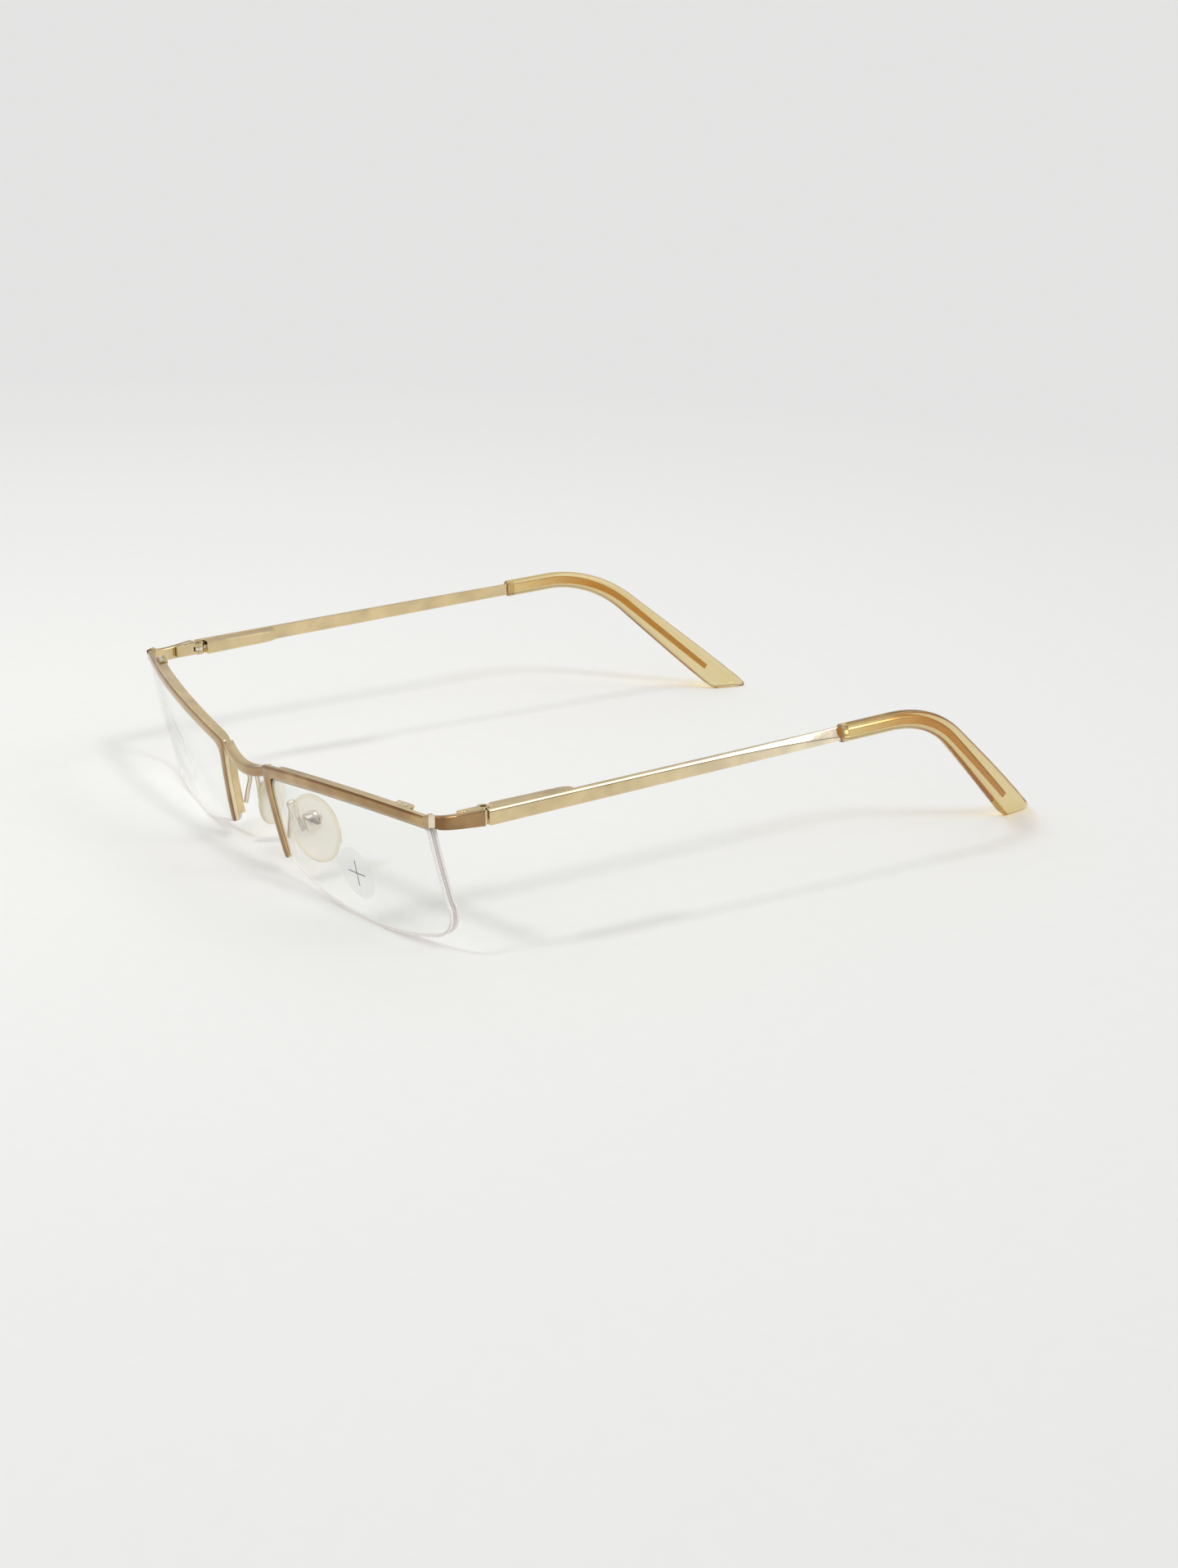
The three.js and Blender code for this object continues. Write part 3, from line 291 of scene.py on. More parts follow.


# Champagne gold plate over nickel alloy, buffed and lacquered: a soft mirror with faint cloudy
# patches from the buffing wheel. Its grain is drawn coarser than it is, so that it shows. Its colour
# also holds painted light: a browner tone, partly lacquer and partly painted dark reflection, and a
# pale painted highlight wherever the highlight share is set.
gold, tree, shader = new_material("lacquered_gold_plate_with_painted_light")
lacquer_and_reflection = painted(tree, "lacquer_and_reflection")
highlight_share = painted(tree, "painted_highlight")
patches = noise(tree, POLISH_PATCH, 3.0)
grain = noise(tree, POLISH_GRAIN, 2.0)
clouds = noise(tree, LACQUER_AND_REFLECTION_CLOUD, 1.0)
uneven = spread(tree, clouds, 0.72, 1.25, 0.35, 0.65)
depth = add_node(tree, "ShaderNodeMath", {0: lacquer_and_reflection, 1: uneven}, operation="MULTIPLY", use_clamp=True)
lacquer_and_reflection_tone = add_node(tree, "ShaderNodeValToRGB", {"Fac": depth.outputs["Value"]})
lacquer_and_reflection_tone.color_ramp.elements[0].color = linear(CHAMPAGNE)
lacquer_and_reflection_tone.color_ramp.elements[1].color = linear(DARK_BRONZE)
lacquer_and_reflection_tone.color_ramp.elements.new(0.5).color = linear(BRONZE)
cloud = spread(tree, patches, 0.83, 1.08)
painted_highlight = blend(tree, highlight_share, lacquer_and_reflection_tone.outputs["Color"], linear(HIGHLIGHT_GOLD))
tone = blend(tree, 1.0, painted_highlight, cloud, "MULTIPLY")
dull = spread(tree, patches, 0.1, 0.2)
ripple = add_node(tree, "ShaderNodeBump", {
    "Height": grain, "Strength": 0.12, "Distance": POLISH_DEPTH * MM})
tree.links.new(tone, shader.inputs["Base Color"])
tree.links.new(dull, shader.inputs["Roughness"])
tree.links.new(ripple.outputs["Normal"], shader.inputs["Normal"])
shader.inputs["Metallic"].default_value = 1.0

rim_section = bar_section(BAR_DEPTH, BAR_HEIGHT, BAR_EDGE, BAR_CROWN)
rings = rim_rings()
rim = skin("rim", rings)
# Browner shares on the front face: partly lacquer tone, partly painted dark reflection, darkest as painted
# reflection on the outer front edge.
lacquer_and_reflection_shares = []
# Pale painted highlight along the nose-side edge of the drop.
highlight_shares = []
for i in range(len(rings)):
    drop = min(1, max(0, (i - BROW_RINGS) / DROP_RINGS))
    highlight_shares += [DROP_PAINTED_HIGHLIGHT * drop if h > BAR_HEIGHT / 2 - SEAM else 0.0 for _, h in rim_section]
    for d, h in rim_section:
        front = max(0.0, 1 - d / BAR_EDGE) ** 0.5
        reflecting_edge = d < BAR_EDGE and h > BAR_HEIGHT / 2 - BAR_EDGE - SEAM
        lacquer_and_reflection_shares.append(EDGE_PAINTED_REFLECTION if reflecting_edge else front * mix(BROW_LACQUER_AND_REFLECTION, DROP_LACQUER_AND_REFLECTION, drop))
paint(rim, "lacquer_and_reflection", lacquer_and_reflection_shares)
paint(rim, "painted_highlight", highlight_shares)
fit_pair("rim", rim, [gold], "front")


# Lens channels. Behind each rim a thin grooved rail is soldered on, which covers the top edge of the
# lens. Its outer end is a thicker block, drilled where the nylon cord is tied off.

CHANNEL_FRONT = BAR_DEPTH + SOLDER_GAP
CHANNEL_DEPTH = 1.45
CHANNEL_HEIGHT = 1.0
CHANNEL_LIP = 0.5
CHANNEL_EDGE = 0.2
CHANNEL_END = 19.0
LINER_WIDTH = 0.5
ANCHOR_LENGTH = 4.0
ANCHOR_RISE = 0.35
ANCHOR_END_SHARE = 0.85
HELD_BROW_STEPS = 44
HELD_DROP_STEPS = 14
LIP_FADE_START = HELD_BROW_STEPS + 2
LIP_FADE_STEPS = 6
LENS_FOOT_FILLET = 2.2
LENS_BOTTOM_RADIUS = 80
LENS_BOTTOM_SHIFT = 3.0
LENS_DROP = 13.9
RIM_BACK = CHANNEL_FRONT + CHANNEL_DEPTH


def bottom_at(u):
    reach = u - LENS_BOTTOM_SHIFT
    return -LENS_DROP + LENS_BOTTOM_RADIUS - math.sqrt(LENS_BOTTOM_RADIUS ** 2 - reach ** 2)


def under_brow_at(u):
    return brow_at(u) - BAR_CENTRE


def nose_edge_at(v):
    return nasal_at(v) + BAR_CENTRE


def held_edge(start_u):
    """The lens edge that the rim holds: under the brow, round the nose corner and down beside it."""
    nose_v = under_brow_at(NASAL_TOP + BAR_CENTRE)
    tip = Vector((nose_edge_at(nose_v), nose_v))
    start = Vector((tip.x + NOSE_FILLET, under_brow_at(tip.x + NOSE_FILLET)))
    end = Vector((nose_edge_at(nose_v - NOSE_FILLET), nose_v - NOSE_FILLET))
    foot = bottom_at(nose_edge_at(-NASAL_FOOT)) + LENS_FOOT_FILLET
    brow = [mix(start_u, start.x, share) for share in shares(HELD_BROW_STEPS)[:-1]]
    drop = [mix(end.y, foot, share) for share in shares(HELD_DROP_STEPS)[1:]]
    edge = [Vector((u, under_brow_at(u))) for u in brow]
    edge += rounded_corner(start, tip, end, CORNER_RINGS)
    return edge + [Vector((nose_edge_at(v), v)) for v in drop]


def grown(edge, amount, closed=False):
    """Each point of an outline moved outwards, square to the outline there."""
    moved = []
    last = len(edge) - 1
    for i, here in enumerate(edge):
        before = edge[i - 1] if i > 0 or closed else here
        after = edge[(i + 1) % len(edge)] if i < last or closed else here
        way = (after - before).normalized()
        moved.append(Vector((here.x + way.y * amount, here.y - way.x * amount)))
    return moved


def channel_rings():
    edge = held_edge(CHANNEL_END)
    web = LENS_GAP + LINER_WIDTH
    top = web + CHANNEL_HEIGHT
    bevel = CHANNEL_EDGE
    lip_front = RIM_BACK - CHANNEL_LIP
    rings = []
    for i in range(len(edge)):
        lip = mix(LENS_GAP, web - SEAM, min(1, max(0, (i - LIP_FADE_START) / LIP_FADE_STEPS)))
        outline = [
            (CHANNEL_FRONT, web), (CHANNEL_FRONT, top), (RIM_BACK - bevel, top), (RIM_BACK, top - bevel),
            (RIM_BACK, lip + bevel), (RIM_BACK - bevel, lip), (lip_front, lip), (lip_front, web),
        ]
        rings.append([(depth, grown(edge, out)[i]) for depth, out in outline])
    return [[on_front(at.x, depth, at.y) for depth, at in ring] for ring in rings]


def anchor_rings():
    low = LENS_GAP + LINER_WIDTH + CHANNEL_HEIGHT / 2
    high = low + CHANNEL_HEIGHT / 2 + ANCHOR_RISE
    deep = CHANNEL_DEPTH + ANCHOR_RISE
    section = bar_section(deep, high - low, CHANNEL_EDGE)
    edge = held_edge(CHANNEL_END)
    ends = [here for here in edge if here.x > CHANNEL_END - ANCHOR_LENGTH]
    rings = []
    for i, here in enumerate(ends):
        shrink = ANCHOR_END_SHARE if i in (0, len(ends) - 1) else 1.0
        middle = grown(ends, (low + high) / 2)[i]
        up = (grown(ends, 1)[i] - here) * shrink
        places = [(middle + up * h, CHANNEL_FRONT + d) for d, h in section]
        rings.append([on_front(at.x, depth, at.y) for at, depth in places])
    return rings


def joined(name, meshes):
    """Several closed shells kept as one mesh."""
    shape = bmesh.new()
    for mesh in meshes:
        shape.from_mesh(mesh)
    whole = bpy.data.meshes.new(name)
    shape.to_mesh(whole)
    shape.free()
    return whole


channel = joined("lens_channel", [skin("rail", channel_rings()), skin("anchor", anchor_rings())])
fit_pair("lens_channel", channel, [gold], "front")


# Lenses. Stock demonstration lenses are cut from CR-39 resin, with both faces polished, the edge
# ground to a satin and a groove cut all round it. The edge looks chalky beside the clear faces.

LENS_MIDDLE = CHANNEL_FRONT + LINER_WIDTH / 2
LENS_THICKNESS = 2.0
LENS_TEMPLE_LEAN = 0.115
LENS_TEMPLE_FILLET = 5.5
LENS_TOP_FILLET = 1.0
LENS_GROOVE_WIDTH = 0.8
LENS_GROOVE_DEPTH = 0.6
LENS_SAFETY_BEVEL = 0.12
LENS_FACE_SHARES = (0.06, 0.2, 0.35, 0.5, 0.65, 0.78, 0.88, 0.95)
LENS_CLEAR = "#FBFCFB"
LENS_EDGE = "#F8F3F1"
# The pale gold of the seated edge is a painted reflection of the gold channel.
LENS_SEAT_PAINTED_REFLECTION = "#F3E6CF"
LENS_SHADOW = "#F4F5F4"
LENS_EDGE_SHADOW = "#E4DFE2"
LENS_EDGE_ROWS = 7
CR39_IOR = 1.5
SMEAR_PATCH = 9.0
GRIND_LINES = 0.3


def temple_edge_at(v):
    return LENS_HALF_WIDTH - LENS_TEMPLE_LEAN * max(0, v + LENS_DROP / 2)


def open_edge():
    """The lens edge that the cord holds, from the foot of the nose side to the end of the brow."""
    foot_u = nose_edge_at(-NASAL_FOOT)
    foot = Vector((foot_u, bottom_at(foot_u)))
    foot_v = foot.y + LENS_FOOT_FILLET
    foot_end = Vector((foot_u + LENS_FOOT_FILLET, bottom_at(foot_u + LENS_FOOT_FILLET)))
    temple = Vector((LENS_HALF_WIDTH, bottom_at(LENS_HALF_WIDTH)))
    low_u = LENS_HALF_WIDTH - LENS_TEMPLE_FILLET
    low_v = temple.y + LENS_TEMPLE_FILLET
    top_u = temple_edge_at(brow_at(LENS_HALF_WIDTH))
    top = Vector((top_u, under_brow_at(top_u)))
    top_v = top.y - LENS_TOP_FILLET
    end_u = top_u - LENS_TOP_FILLET
    edge = rounded_corner(Vector((nose_edge_at(foot_v), foot_v)), foot, foot_end, 10)[1:]
    bottom = [mix(foot_end.x, low_u, share) for share in shares(36)[1:-1]]
    side = [mix(low_v, top_v, share) for share in shares(18)[1:-1]]
    edge += [Vector((u, bottom_at(u))) for u in bottom]
    edge += rounded_corner(Vector((low_u, bottom_at(low_u))), temple, Vector((LENS_HALF_WIDTH, low_v)), 12)
    edge += [Vector((temple_edge_at(v), v)) for v in side]
    top_start = Vector((temple_edge_at(top_v), top_v))
    return edge + rounded_corner(top_start, top, Vector((end_u, under_brow_at(end_u))), 8)


def lens_mesh():
    held = held_edge(temple_edge_at(brow_at(LENS_HALF_WIDTH)) - LENS_TOP_FILLET)[1:]
    whole = held + open_edge()
    groove = grown(whole, -LENS_GROOVE_DEPTH, True)
    face = grown(whole, -LENS_SAFETY_BEVEL, True)
    front = LENS_MIDDLE - LENS_THICKNESS / 2
    back = LENS_MIDDLE + LENS_THICKNESS / 2
    wall = LENS_GROOVE_WIDTH / 2
    stations = [([here * share for here in face], front) for share in LENS_FACE_SHARES]
    stations += [
        (face, front), (whole, front + LENS_SAFETY_BEVEL), (whole, LENS_MIDDLE - wall),
        (groove, LENS_MIDDLE - wall), (groove, LENS_MIDDLE + wall), (whole, LENS_MIDDLE + wall),
        (whole, back - LENS_SAFETY_BEVEL), (face, back),
    ]
    stations += [([here * share for here in face], back) for share in reversed(LENS_FACE_SHARES)]
    rings = [[on_front(at.x, depth, at.y) for at in edge] for edge, depth in stations]
    mesh = skin("lens", rings, on_front(0, front, 0), on_front(0, back, 0), 25)
    # Of the three materials, 0 is for the clear faces, 1 for the open edge and 2 for the held edge.
    first_edge_face = len(LENS_FACE_SHARES) * len(whole)
    for polygon in mesh.polygons:
        row, place = divmod(polygon.index - first_edge_face, len(whole))
        edge = 2 if place < len(held) else 1
        polygon.material_index = edge if 0 <= row < LENS_EDGE_ROWS else 0
    return mesh


def pass_light(tree, shader, tint):
    """Lets lamps shine through a clear piece, tinted, so that it leaves a pale shadow."""
    ray = add_node(tree, "ShaderNodeLightPath", {})
    lit = add_node(tree, "ShaderNodeBsdfTransparent", {"Color": linear(tint)})
    seen = add_node(tree, "ShaderNodeMixShader", {
        0: ray.outputs["Is Shadow Ray"], 1: shader.outputs["BSDF"], 2: lit.outputs["BSDF"]})
    tree.links.new(seen.outputs["Shader"], tree.nodes["Material Output"].inputs["Surface"])


# Clear CR-39 resin, cast and polished. Lamps shine through it, so it leaves only a faint shadow.
resin, tree, shader = new_material("clear_cr39_resin")
smears = noise(tree, SMEAR_PATCH, 4.0)
haze = spread(tree, smears, 0.0, 0.006, 0.45, 0.75)
tree.links.new(haze, shader.inputs["Roughness"])
shader.inputs["Base Color"].default_value = linear(LENS_CLEAR)
shader.inputs["Transmission Weight"].default_value = 1.0
shader.inputs["IOR"].default_value = CR39_IOR
pass_light(tree, shader, LENS_SHADOW)

# The ground edge of the same resin: a fine satin that scatters light, with faint marks of the wheel.
ground, tree, shader = new_material("satin_ground_resin_edge")
wheel = noise(tree, GRIND_LINES, 2.0)
satin = spread(tree, wheel, 0.22, 0.4)
tree.links.new(satin, shader.inputs["Roughness"])
shader.inputs["Base Color"].default_value = linear(LENS_EDGE)
shader.inputs["Transmission Weight"].default_value = 0.15
shader.inputs["IOR"].default_value = CR39_IOR
pass_light(tree, shader, LENS_EDGE_SHADOW)

# The same ground edge where it lies on the liner: chalky, and painted pale gold, a painted reflection
# of the gold channel that also lightens its shaded place in the groove.
seated, tree, shader = new_material("seated_resin_edge_painted_gold")
chalk = noise(tree, GRIND_LINES, 2.0)
dull = spread(tree, chalk, 0.5, 0.7)
tree.links.new(dull, shader.inputs["Roughness"])
shader.inputs["Base Color"].default_value = linear(LENS_SEAT_PAINTED_REFLECTION)

fit_pair("lens", lens_mesh(), [resin, ground, seated], "front")


# Nylon. A clear monofilament cord lies in the open groove of each lens and is tied through the block
# at the end of the channel, and a nylon liner fills the channel's own groove.

CORD_RADIUS = 0.22
CORD_GAP = 0.18
CORD_END_GAP = 0.3
KNOT_RADIUS = 0.36
KNOT_HEIGHT = 0.252
KNOT_PLACES = (0.9, 2.5)
CORD_SIDES = 14
NYLON_CLEAR = "#F5F1EE"
NYLON_IOR = 1.53
NYLON_WAVE = 1.2

# Polyamide monofilament, drawn: glassy, slightly milky, with a little waviness along it.
nylon, tree, shader = new_material("drawn_nylon_monofilament")
waver = noise(tree, NYLON_WAVE, 1.0)
glaze = spread(tree, waver, 0.12, 0.3)
tree.links.new(glaze, shader.inputs["Roughness"])
shader.inputs["Base Color"].default_value = linear(NYLON_CLEAR)
shader.inputs["Transmission Weight"].default_value = 0.5
shader.inputs["IOR"].default_value = NYLON_IOR


def new_tool(name, start, sizes, made, counts=()):
    """A node tree with named inputs: what it starts from, its sizes and the finish of what it makes."""
    tool = bpy.data.node_groups.new(name, "GeometryNodeTree")
    tool.is_modifier = True
    tool.interface.new_socket(name=start, in_out="INPUT", socket_type="NodeSocketGeometry")
    for label in sizes:
        tool.interface.new_socket(name=label, in_out="INPUT", socket_type="NodeSocketFloat")
    for label in counts:
        tool.interface.new_socket(name=label, in_out="INPUT", socket_type="NodeSocketInt")
    tool.interface.new_socket(name="Finish", in_out="INPUT", socket_type="NodeSocketMaterial")
    tool.interface.new_socket(name=made, in_out="OUTPUT", socket_type="NodeSocketGeometry")
    return tool, add_node(tool, "NodeGroupInput", {}).outputs


def draw_wire(tool, curve, sides, radius):
    """A round wire along a curve."""
    hole = add_node(tool, "GeometryNodeCurvePrimitiveCircle", {"Resolution": sides, "Radius": radius})
    drawn = add_node(tool, "GeometryNodeCurveToMesh", {
        "Curve": curve, "Profile Curve": hole.outputs["Curve"], "Fill Caps": True})
    return drawn.outputs["Mesh"]


def end_tool(tool, shape, finish, made):
    """The end of a node tree: its shape as real faces, dressed in the finish."""
    real = add_node(tool, "GeometryNodeRealizeInstances", {"Geometry": shape})
    dressed = add_node(tool, "GeometryNodeSetMaterial", {
        "Geometry": real.outputs["Geometry"], "Material": finish})
    add_node(tool, "NodeGroupOutput", {made: dressed.outputs["Geometry"]})


# A round wire drawn along a line of points.
wire_tree, given = new_tool("round_wire", "Path", ("Wire radius",), "Wire", ("Sides",))
path = add_node(wire_tree, "GeometryNodeMeshToCurve", {"Mesh": given["Path"]})
drawn = draw_wire(wire_tree, path.outputs["Curve"], given["Sides"], given["Wire radius"])
end_tool(wire_tree, drawn, given["Finish"], "Wire")


def taken(stock, crease):
    """What an object's modifiers make of it, as a plain mesh without its material."""
    graph = bpy.context.evaluated_depsgraph_get()
    mesh = bpy.data.meshes.new_from_object(stock.evaluated_get(graph))
    bpy.data.objects.remove(stock)
    mesh.materials.clear()
    return smoothed(mesh, crease)


def worked(node_tree, start, sizes, crease=35):
    """What a node tree makes of a starting mesh."""
    stock = placed(node_tree.name, start)
    tool = stock.modifiers.new(node_tree.name, "NODES")
    tool.node_group = node_tree
    for socket in node_tree.interface.items_tree:
        if socket.in_out == "INPUT" and socket.name in sizes:
            tool[socket.identifier] = sizes[socket.name]
    return taken(stock, crease)


def wire(points, radius, sides, material):
    line = bpy.data.meshes.new("line")
    line.from_pydata([point * MM for point in points], [(i, i + 1) for i in range(len(points) - 1)], [])
    sizes = {"Wire radius": radius * MM, "Sides": sides, "Finish": material}
    return worked(wire_tree, line, sizes)


def oval(count, fullness=1.0):
    """Points round a circle, or a squarer oval where fullness is below 1, as pairs from -1 to 1."""
    points = []
    for turn in shares(count)[:-1]:
        across = math.cos(2 * math.pi * turn)
        above = math.sin(2 * math.pi * turn)
        wide = math.copysign(abs(across) ** fullness, across)
        points.append((wide, math.copysign(abs(above) ** fullness, above)))
    return points


def knots():
    """The two ends of the cord, melted to domes on top of the block."""
    domes = []
    top = LENS_GAP + LINER_WIDTH + CHANNEL_HEIGHT + ANCHOR_RISE
    for back in KNOT_PLACES:
        u = CHANNEL_END - back
        middle = on_front(u, (CHANNEL_FRONT + RIM_BACK) / 2, under_brow_at(u) + top)
        up = FRONT_TURN @ Vector((0, 0, 1))
        side = FRONT_TURN @ Vector((1, 0, 0))
        deep = up.cross(side)
        rings = []
        for sine, cosine in quarter(6)[:-1]:
            level = middle + up * KNOT_HEIGHT * sine
            rings.append([level + (side * a + deep * b) * KNOT_RADIUS * cosine for a, b in oval(16)])
        domes.append(skin("knot", rings, end=middle + up * KNOT_HEIGHT))
    return domes


tied = [at for at in held_edge(temple_edge_at(brow_at(LENS_HALF_WIDTH)) - LENS_TOP_FILLET)
        if at.x > CHANNEL_END + CORD_END_GAP][1:]
route = grown(open_edge() + tied, CORD_RADIUS + CORD_GAP - LENS_GROOVE_DEPTH)
cord = wire([on_front(at.x, LENS_MIDDLE, at.y) for at in route], CORD_RADIUS, CORD_SIDES, nylon)
fit_pair("nylon_cord", joined("nylon_cord", [cord] + knots()), [nylon], "front")
for side in ("left", "right"):
    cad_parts[f"{side}_rim_liner"].data.materials[0] = nylon


# Bridge. A short drawn bar, soldered between the two rims, that hangs a little in the middle and
# stands slightly forward. It has the same gold plate as the rims.

BRIDGE_HEIGHT = 2.0
BRIDGE_DEPTH = 2.2
BRIDGE_DROP = 0.6
BRIDGE_SAG = 1.6
BRIDGE_REACH = 0.7
BRIDGE_EDGE = 0.45
BRIDGE_CROWN = 0.15
BRIDGE_LACQUER_AND_REFLECTION = 0.4


def bridge_rings():
    flank = NASAL_TOP - BAR_HEIGHT / 2 - SEAM
    end = on_front(flank, RIM_BACK / 2, BROW_NOSE_HEIGHT - BRIDGE_DROP)
    back = Vector((0, math.cos(PANTOSCOPIC_TILT), math.sin(PANTOSCOPIC_TILT)))
    up = Vector((0, -math.sin(PANTOSCOPIC_TILT), math.cos(PANTOSCOPIC_TILT)))
    rings = []
    for along in shares(48):
        share = 2 * along - 1
        bow = 1 - share * share
        middle = Vector((end.x * share, end.y - BRIDGE_REACH * bow, end.z - BRIDGE_SAG * bow))
        rings.append([middle + back * (d - BRIDGE_DEPTH / 2) + up * h for d, h in bridge_section])
    return rings


bridge_section = bar_section(BRIDGE_DEPTH, BRIDGE_HEIGHT, BRIDGE_EDGE, BRIDGE_CROWN)
bridge_mesh = skin("bridge", bridge_rings())
# The front face is painted browner: partly lacquer tone, partly painted dark reflection.
lacquer_and_reflection_shares = [BRIDGE_LACQUER_AND_REFLECTION * max(0.0, 1 - d / (BRIDGE_DEPTH / 2)) ** 0.5 for d, _ in bridge_section]
paint(bridge_mesh, "lacquer_and_reflection", lacquer_and_reflection_shares * (len(bridge_mesh.vertices) // len(bridge_section)))
bridge_mesh.materials.append(gold)
bridge = placed("bridge_piece", bridge_mesh)
even_out(bridge)
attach(bridge, "front")
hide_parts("bridge")


# Endpieces. At the end of each brow the bar turns a sharp kink, with a facet filed on its
# corner, and runs back to the temple joint, where its end is bevelled. A pale highlight is painted on
# the facet and on the bevel, and the outer face is painted browner, partly lacquer tone and partly
# painted dark reflection.

HINGE_PLACE = Vector((62.8037, -57.9544, 26.3644))
TEMPLE_RISE = math.radians(2.0)
TEMPLE_TOE_IN = math.radians(0.4)
HINGE_TURN = Matrix.Rotation(TEMPLE_RISE, 3, "X") @ Matrix.Rotation(TEMPLE_TOE_IN, 3, "Z")
KINK_REACH = 1.2
KINK_SETBACK = 0.9
KINK_FACET = 0.55
# Width of the narrow bands that keep the painted facet highlight from spreading.
FACET_HIGHLIGHT_MARGIN = 0.06
ENDPIECE_HEIGHT = 2.4
ENDPIECE_THICKNESS = 1.25
ENDPIECE_SAG = 0.55
ENDPIECE_EDGE = 0.22
BROW_END_LACQUER_AND_REFLECTION = 0.5
KINK_LACQUER_AND_REFLECTION = 1.25
JOINT_LACQUER_AND_REFLECTION = 0.5
FACET_PAINTED_HIGHLIGHT = 0.9
ENDPIECE_RINGS = 12
SCREW_INSET = 2.6
SCREW_SETBACK = 0.3
JOINT_GAP = 0.3
JOINT_BEVEL = 0.32
JOINT_BEVEL_LENGTH = 0.55
TEMPLE_FRONT_HEIGHT = 3.05
TEMPLE_DROP = 0.25


def on_hinge(x, y, z):
    """A point in the hinge's frame: the screw stands at its origin and the temple runs back along Y."""
    return HINGE_PLACE + HINGE_TURN @ Vector((x, y, z))


def endpiece_rings():
    thick = ENDPIECE_THICKNESS
    brow_v = brow_at(BROW_END)
    start_u = BROW_END + SOLDER_GAP + SEAM
    start = on_front(start_u, 0, brow_v)
    start_back = on_front(start_u, thick, brow_v)
    kink = on_front(BROW_END + KINK_REACH, KINK_SETBACK, brow_v)
    joint_y = -SCREW_SETBACK - JOINT_GAP / 2
    joint = on_hinge(SCREW_INSET, joint_y, -TEMPLE_DROP)
    joint_back = on_hinge(SCREW_INSET - thick, joint_y, -TEMPLE_DROP)
    brow_way = (kink - start).normalized()
    side_way = (joint - kink).normalized()
    inwards = Vector((-brow_way.y, brow_way.x, 0)) + Vector((-side_way.y, side_way.x, 0))
    mitre = kink + inwards * 2 * thick / inwards.length_squared
    tilt = FRONT_TURN @ Vector((0, 0, 1))
    upright = Vector((0, 0, 1))
    facet_end = kink + side_way * KINK_FACET
    stations = [(start, start_back, tilt, ENDPIECE_HEIGHT)]
    for edge in (kink - brow_way * (KINK_FACET + FACET_HIGHLIGHT_MARGIN), kink - brow_way * KINK_FACET, facet_end):
        stations.append((edge, mitre, upright, ENDPIECE_HEIGHT))
    for share in [FACET_HIGHLIGHT_MARGIN / 8] + shares(ENDPIECE_RINGS)[1:]:
        dip = Vector((0, 0, -ENDPIECE_SAG * math.sin(math.pi * math.sqrt(share))))
        outer = mix(facet_end, joint - side_way * JOINT_BEVEL_LENGTH, share) + dip
        inner = mix(mitre, joint_back - side_way * JOINT_BEVEL_LENGTH, share) + dip
        stations.append((outer, inner, upright, mix(ENDPIECE_HEIGHT, TEMPLE_FRONT_HEIGHT, share)))
    near = joint - side_way * (JOINT_BEVEL_LENGTH - FACET_HIGHLIGHT_MARGIN)
    near_back = joint_back - side_way * (JOINT_BEVEL_LENGTH - FACET_HIGHLIGHT_MARGIN)
    stations.append((near, near_back, upright, TEMPLE_FRONT_HEIGHT))
    bevelled = joint + (joint_back - joint).normalized() * JOINT_BEVEL
    stations.append((bevelled, joint_back, upright, TEMPLE_FRONT_HEIGHT - JOINT_BEVEL))
    rings = []
    for outer, inner, up, height in stations:
        deep = (inner - outer) / thick
        rings.append([outer + deep * d + up * h * height / ENDPIECE_HEIGHT for d, h in endpiece_section])
    return rings


endpiece_section = bar_section(ENDPIECE_THICKNESS, ENDPIECE_HEIGHT, ENDPIECE_EDGE)
rings = endpiece_rings()
endpiece = skin("endpiece", rings, crease=20)
# Browner outer face: partly lacquer tone, partly painted dark reflection. Pale painted highlight on the
# filed facet and the end bevel.
lacquer_and_reflection_shares = []
highlight_shares = []
for i in range(len(rings)):
    fade = BROW_END_LACQUER_AND_REFLECTION if i < 2 else mix(KINK_LACQUER_AND_REFLECTION, JOINT_LACQUER_AND_REFLECTION, (i - 2) / (len(rings) - 3))
    filed = FACET_PAINTED_HIGHLIGHT if i in (2, 3) or i >= len(rings) - 2 else 0.0
    lacquer_and_reflection_shares += [fade * max(0.0, 1 - d / (ENDPIECE_THICKNESS / 2)) ** 0.5 for d, _ in endpiece_section]
    highlight_shares += [filed if d < ENDPIECE_THICKNESS / 2 else 0.0 for d, _ in endpiece_section]
paint(endpiece, "lacquer_and_reflection", lacquer_and_reflection_shares)
paint(endpiece, "painted_highlight", highlight_shares)
fit_pair("endpiece", endpiece, [gold], "front")


# Pad arms. Each is a polished wire, soldered behind the foot of the nose-side drop. It rises along the
# drop, bends over in a small arch and comes down on the front of the pad box, where it is soldered.

PAD_PLACE = Vector((10.3, -65.128, 9.2))
PAD_FRONTAL_ANGLE = math.radians(14)
PAD_SPLAY_ANGLE = math.radians(28)
PAD_LEAN_ANGLE = math.radians(21)
PAD_TURN = (Matrix.Rotation(-PAD_SPLAY_ANGLE, 3, "Z") @ Matrix.Rotation(-PAD_FRONTAL_ANGLE, 3, "Y")
            @ Matrix.Rotation(PAD_LEAN_ANGLE, 3, "X"))
PAD_THICKNESS = 1.9
PAD_GAP = 0.3
PAD_BOX_RISE = 1.6
PAD_BOX_HEIGHT = 3.9
PAD_BOX_WIDTH = 3.1
PAD_BOX_DEPTH = 1.6
PAD_BOX_WALL = 0.45
PAD_BACK = PAD_THICKNESS / 2
BOX_FACE = PAD_BACK + PAD_GAP
ARM_RADIUS = 0.46
ARM_FOOT = 5.0
ARM_TOP = 1.2
ARM_ARCH = 1.9
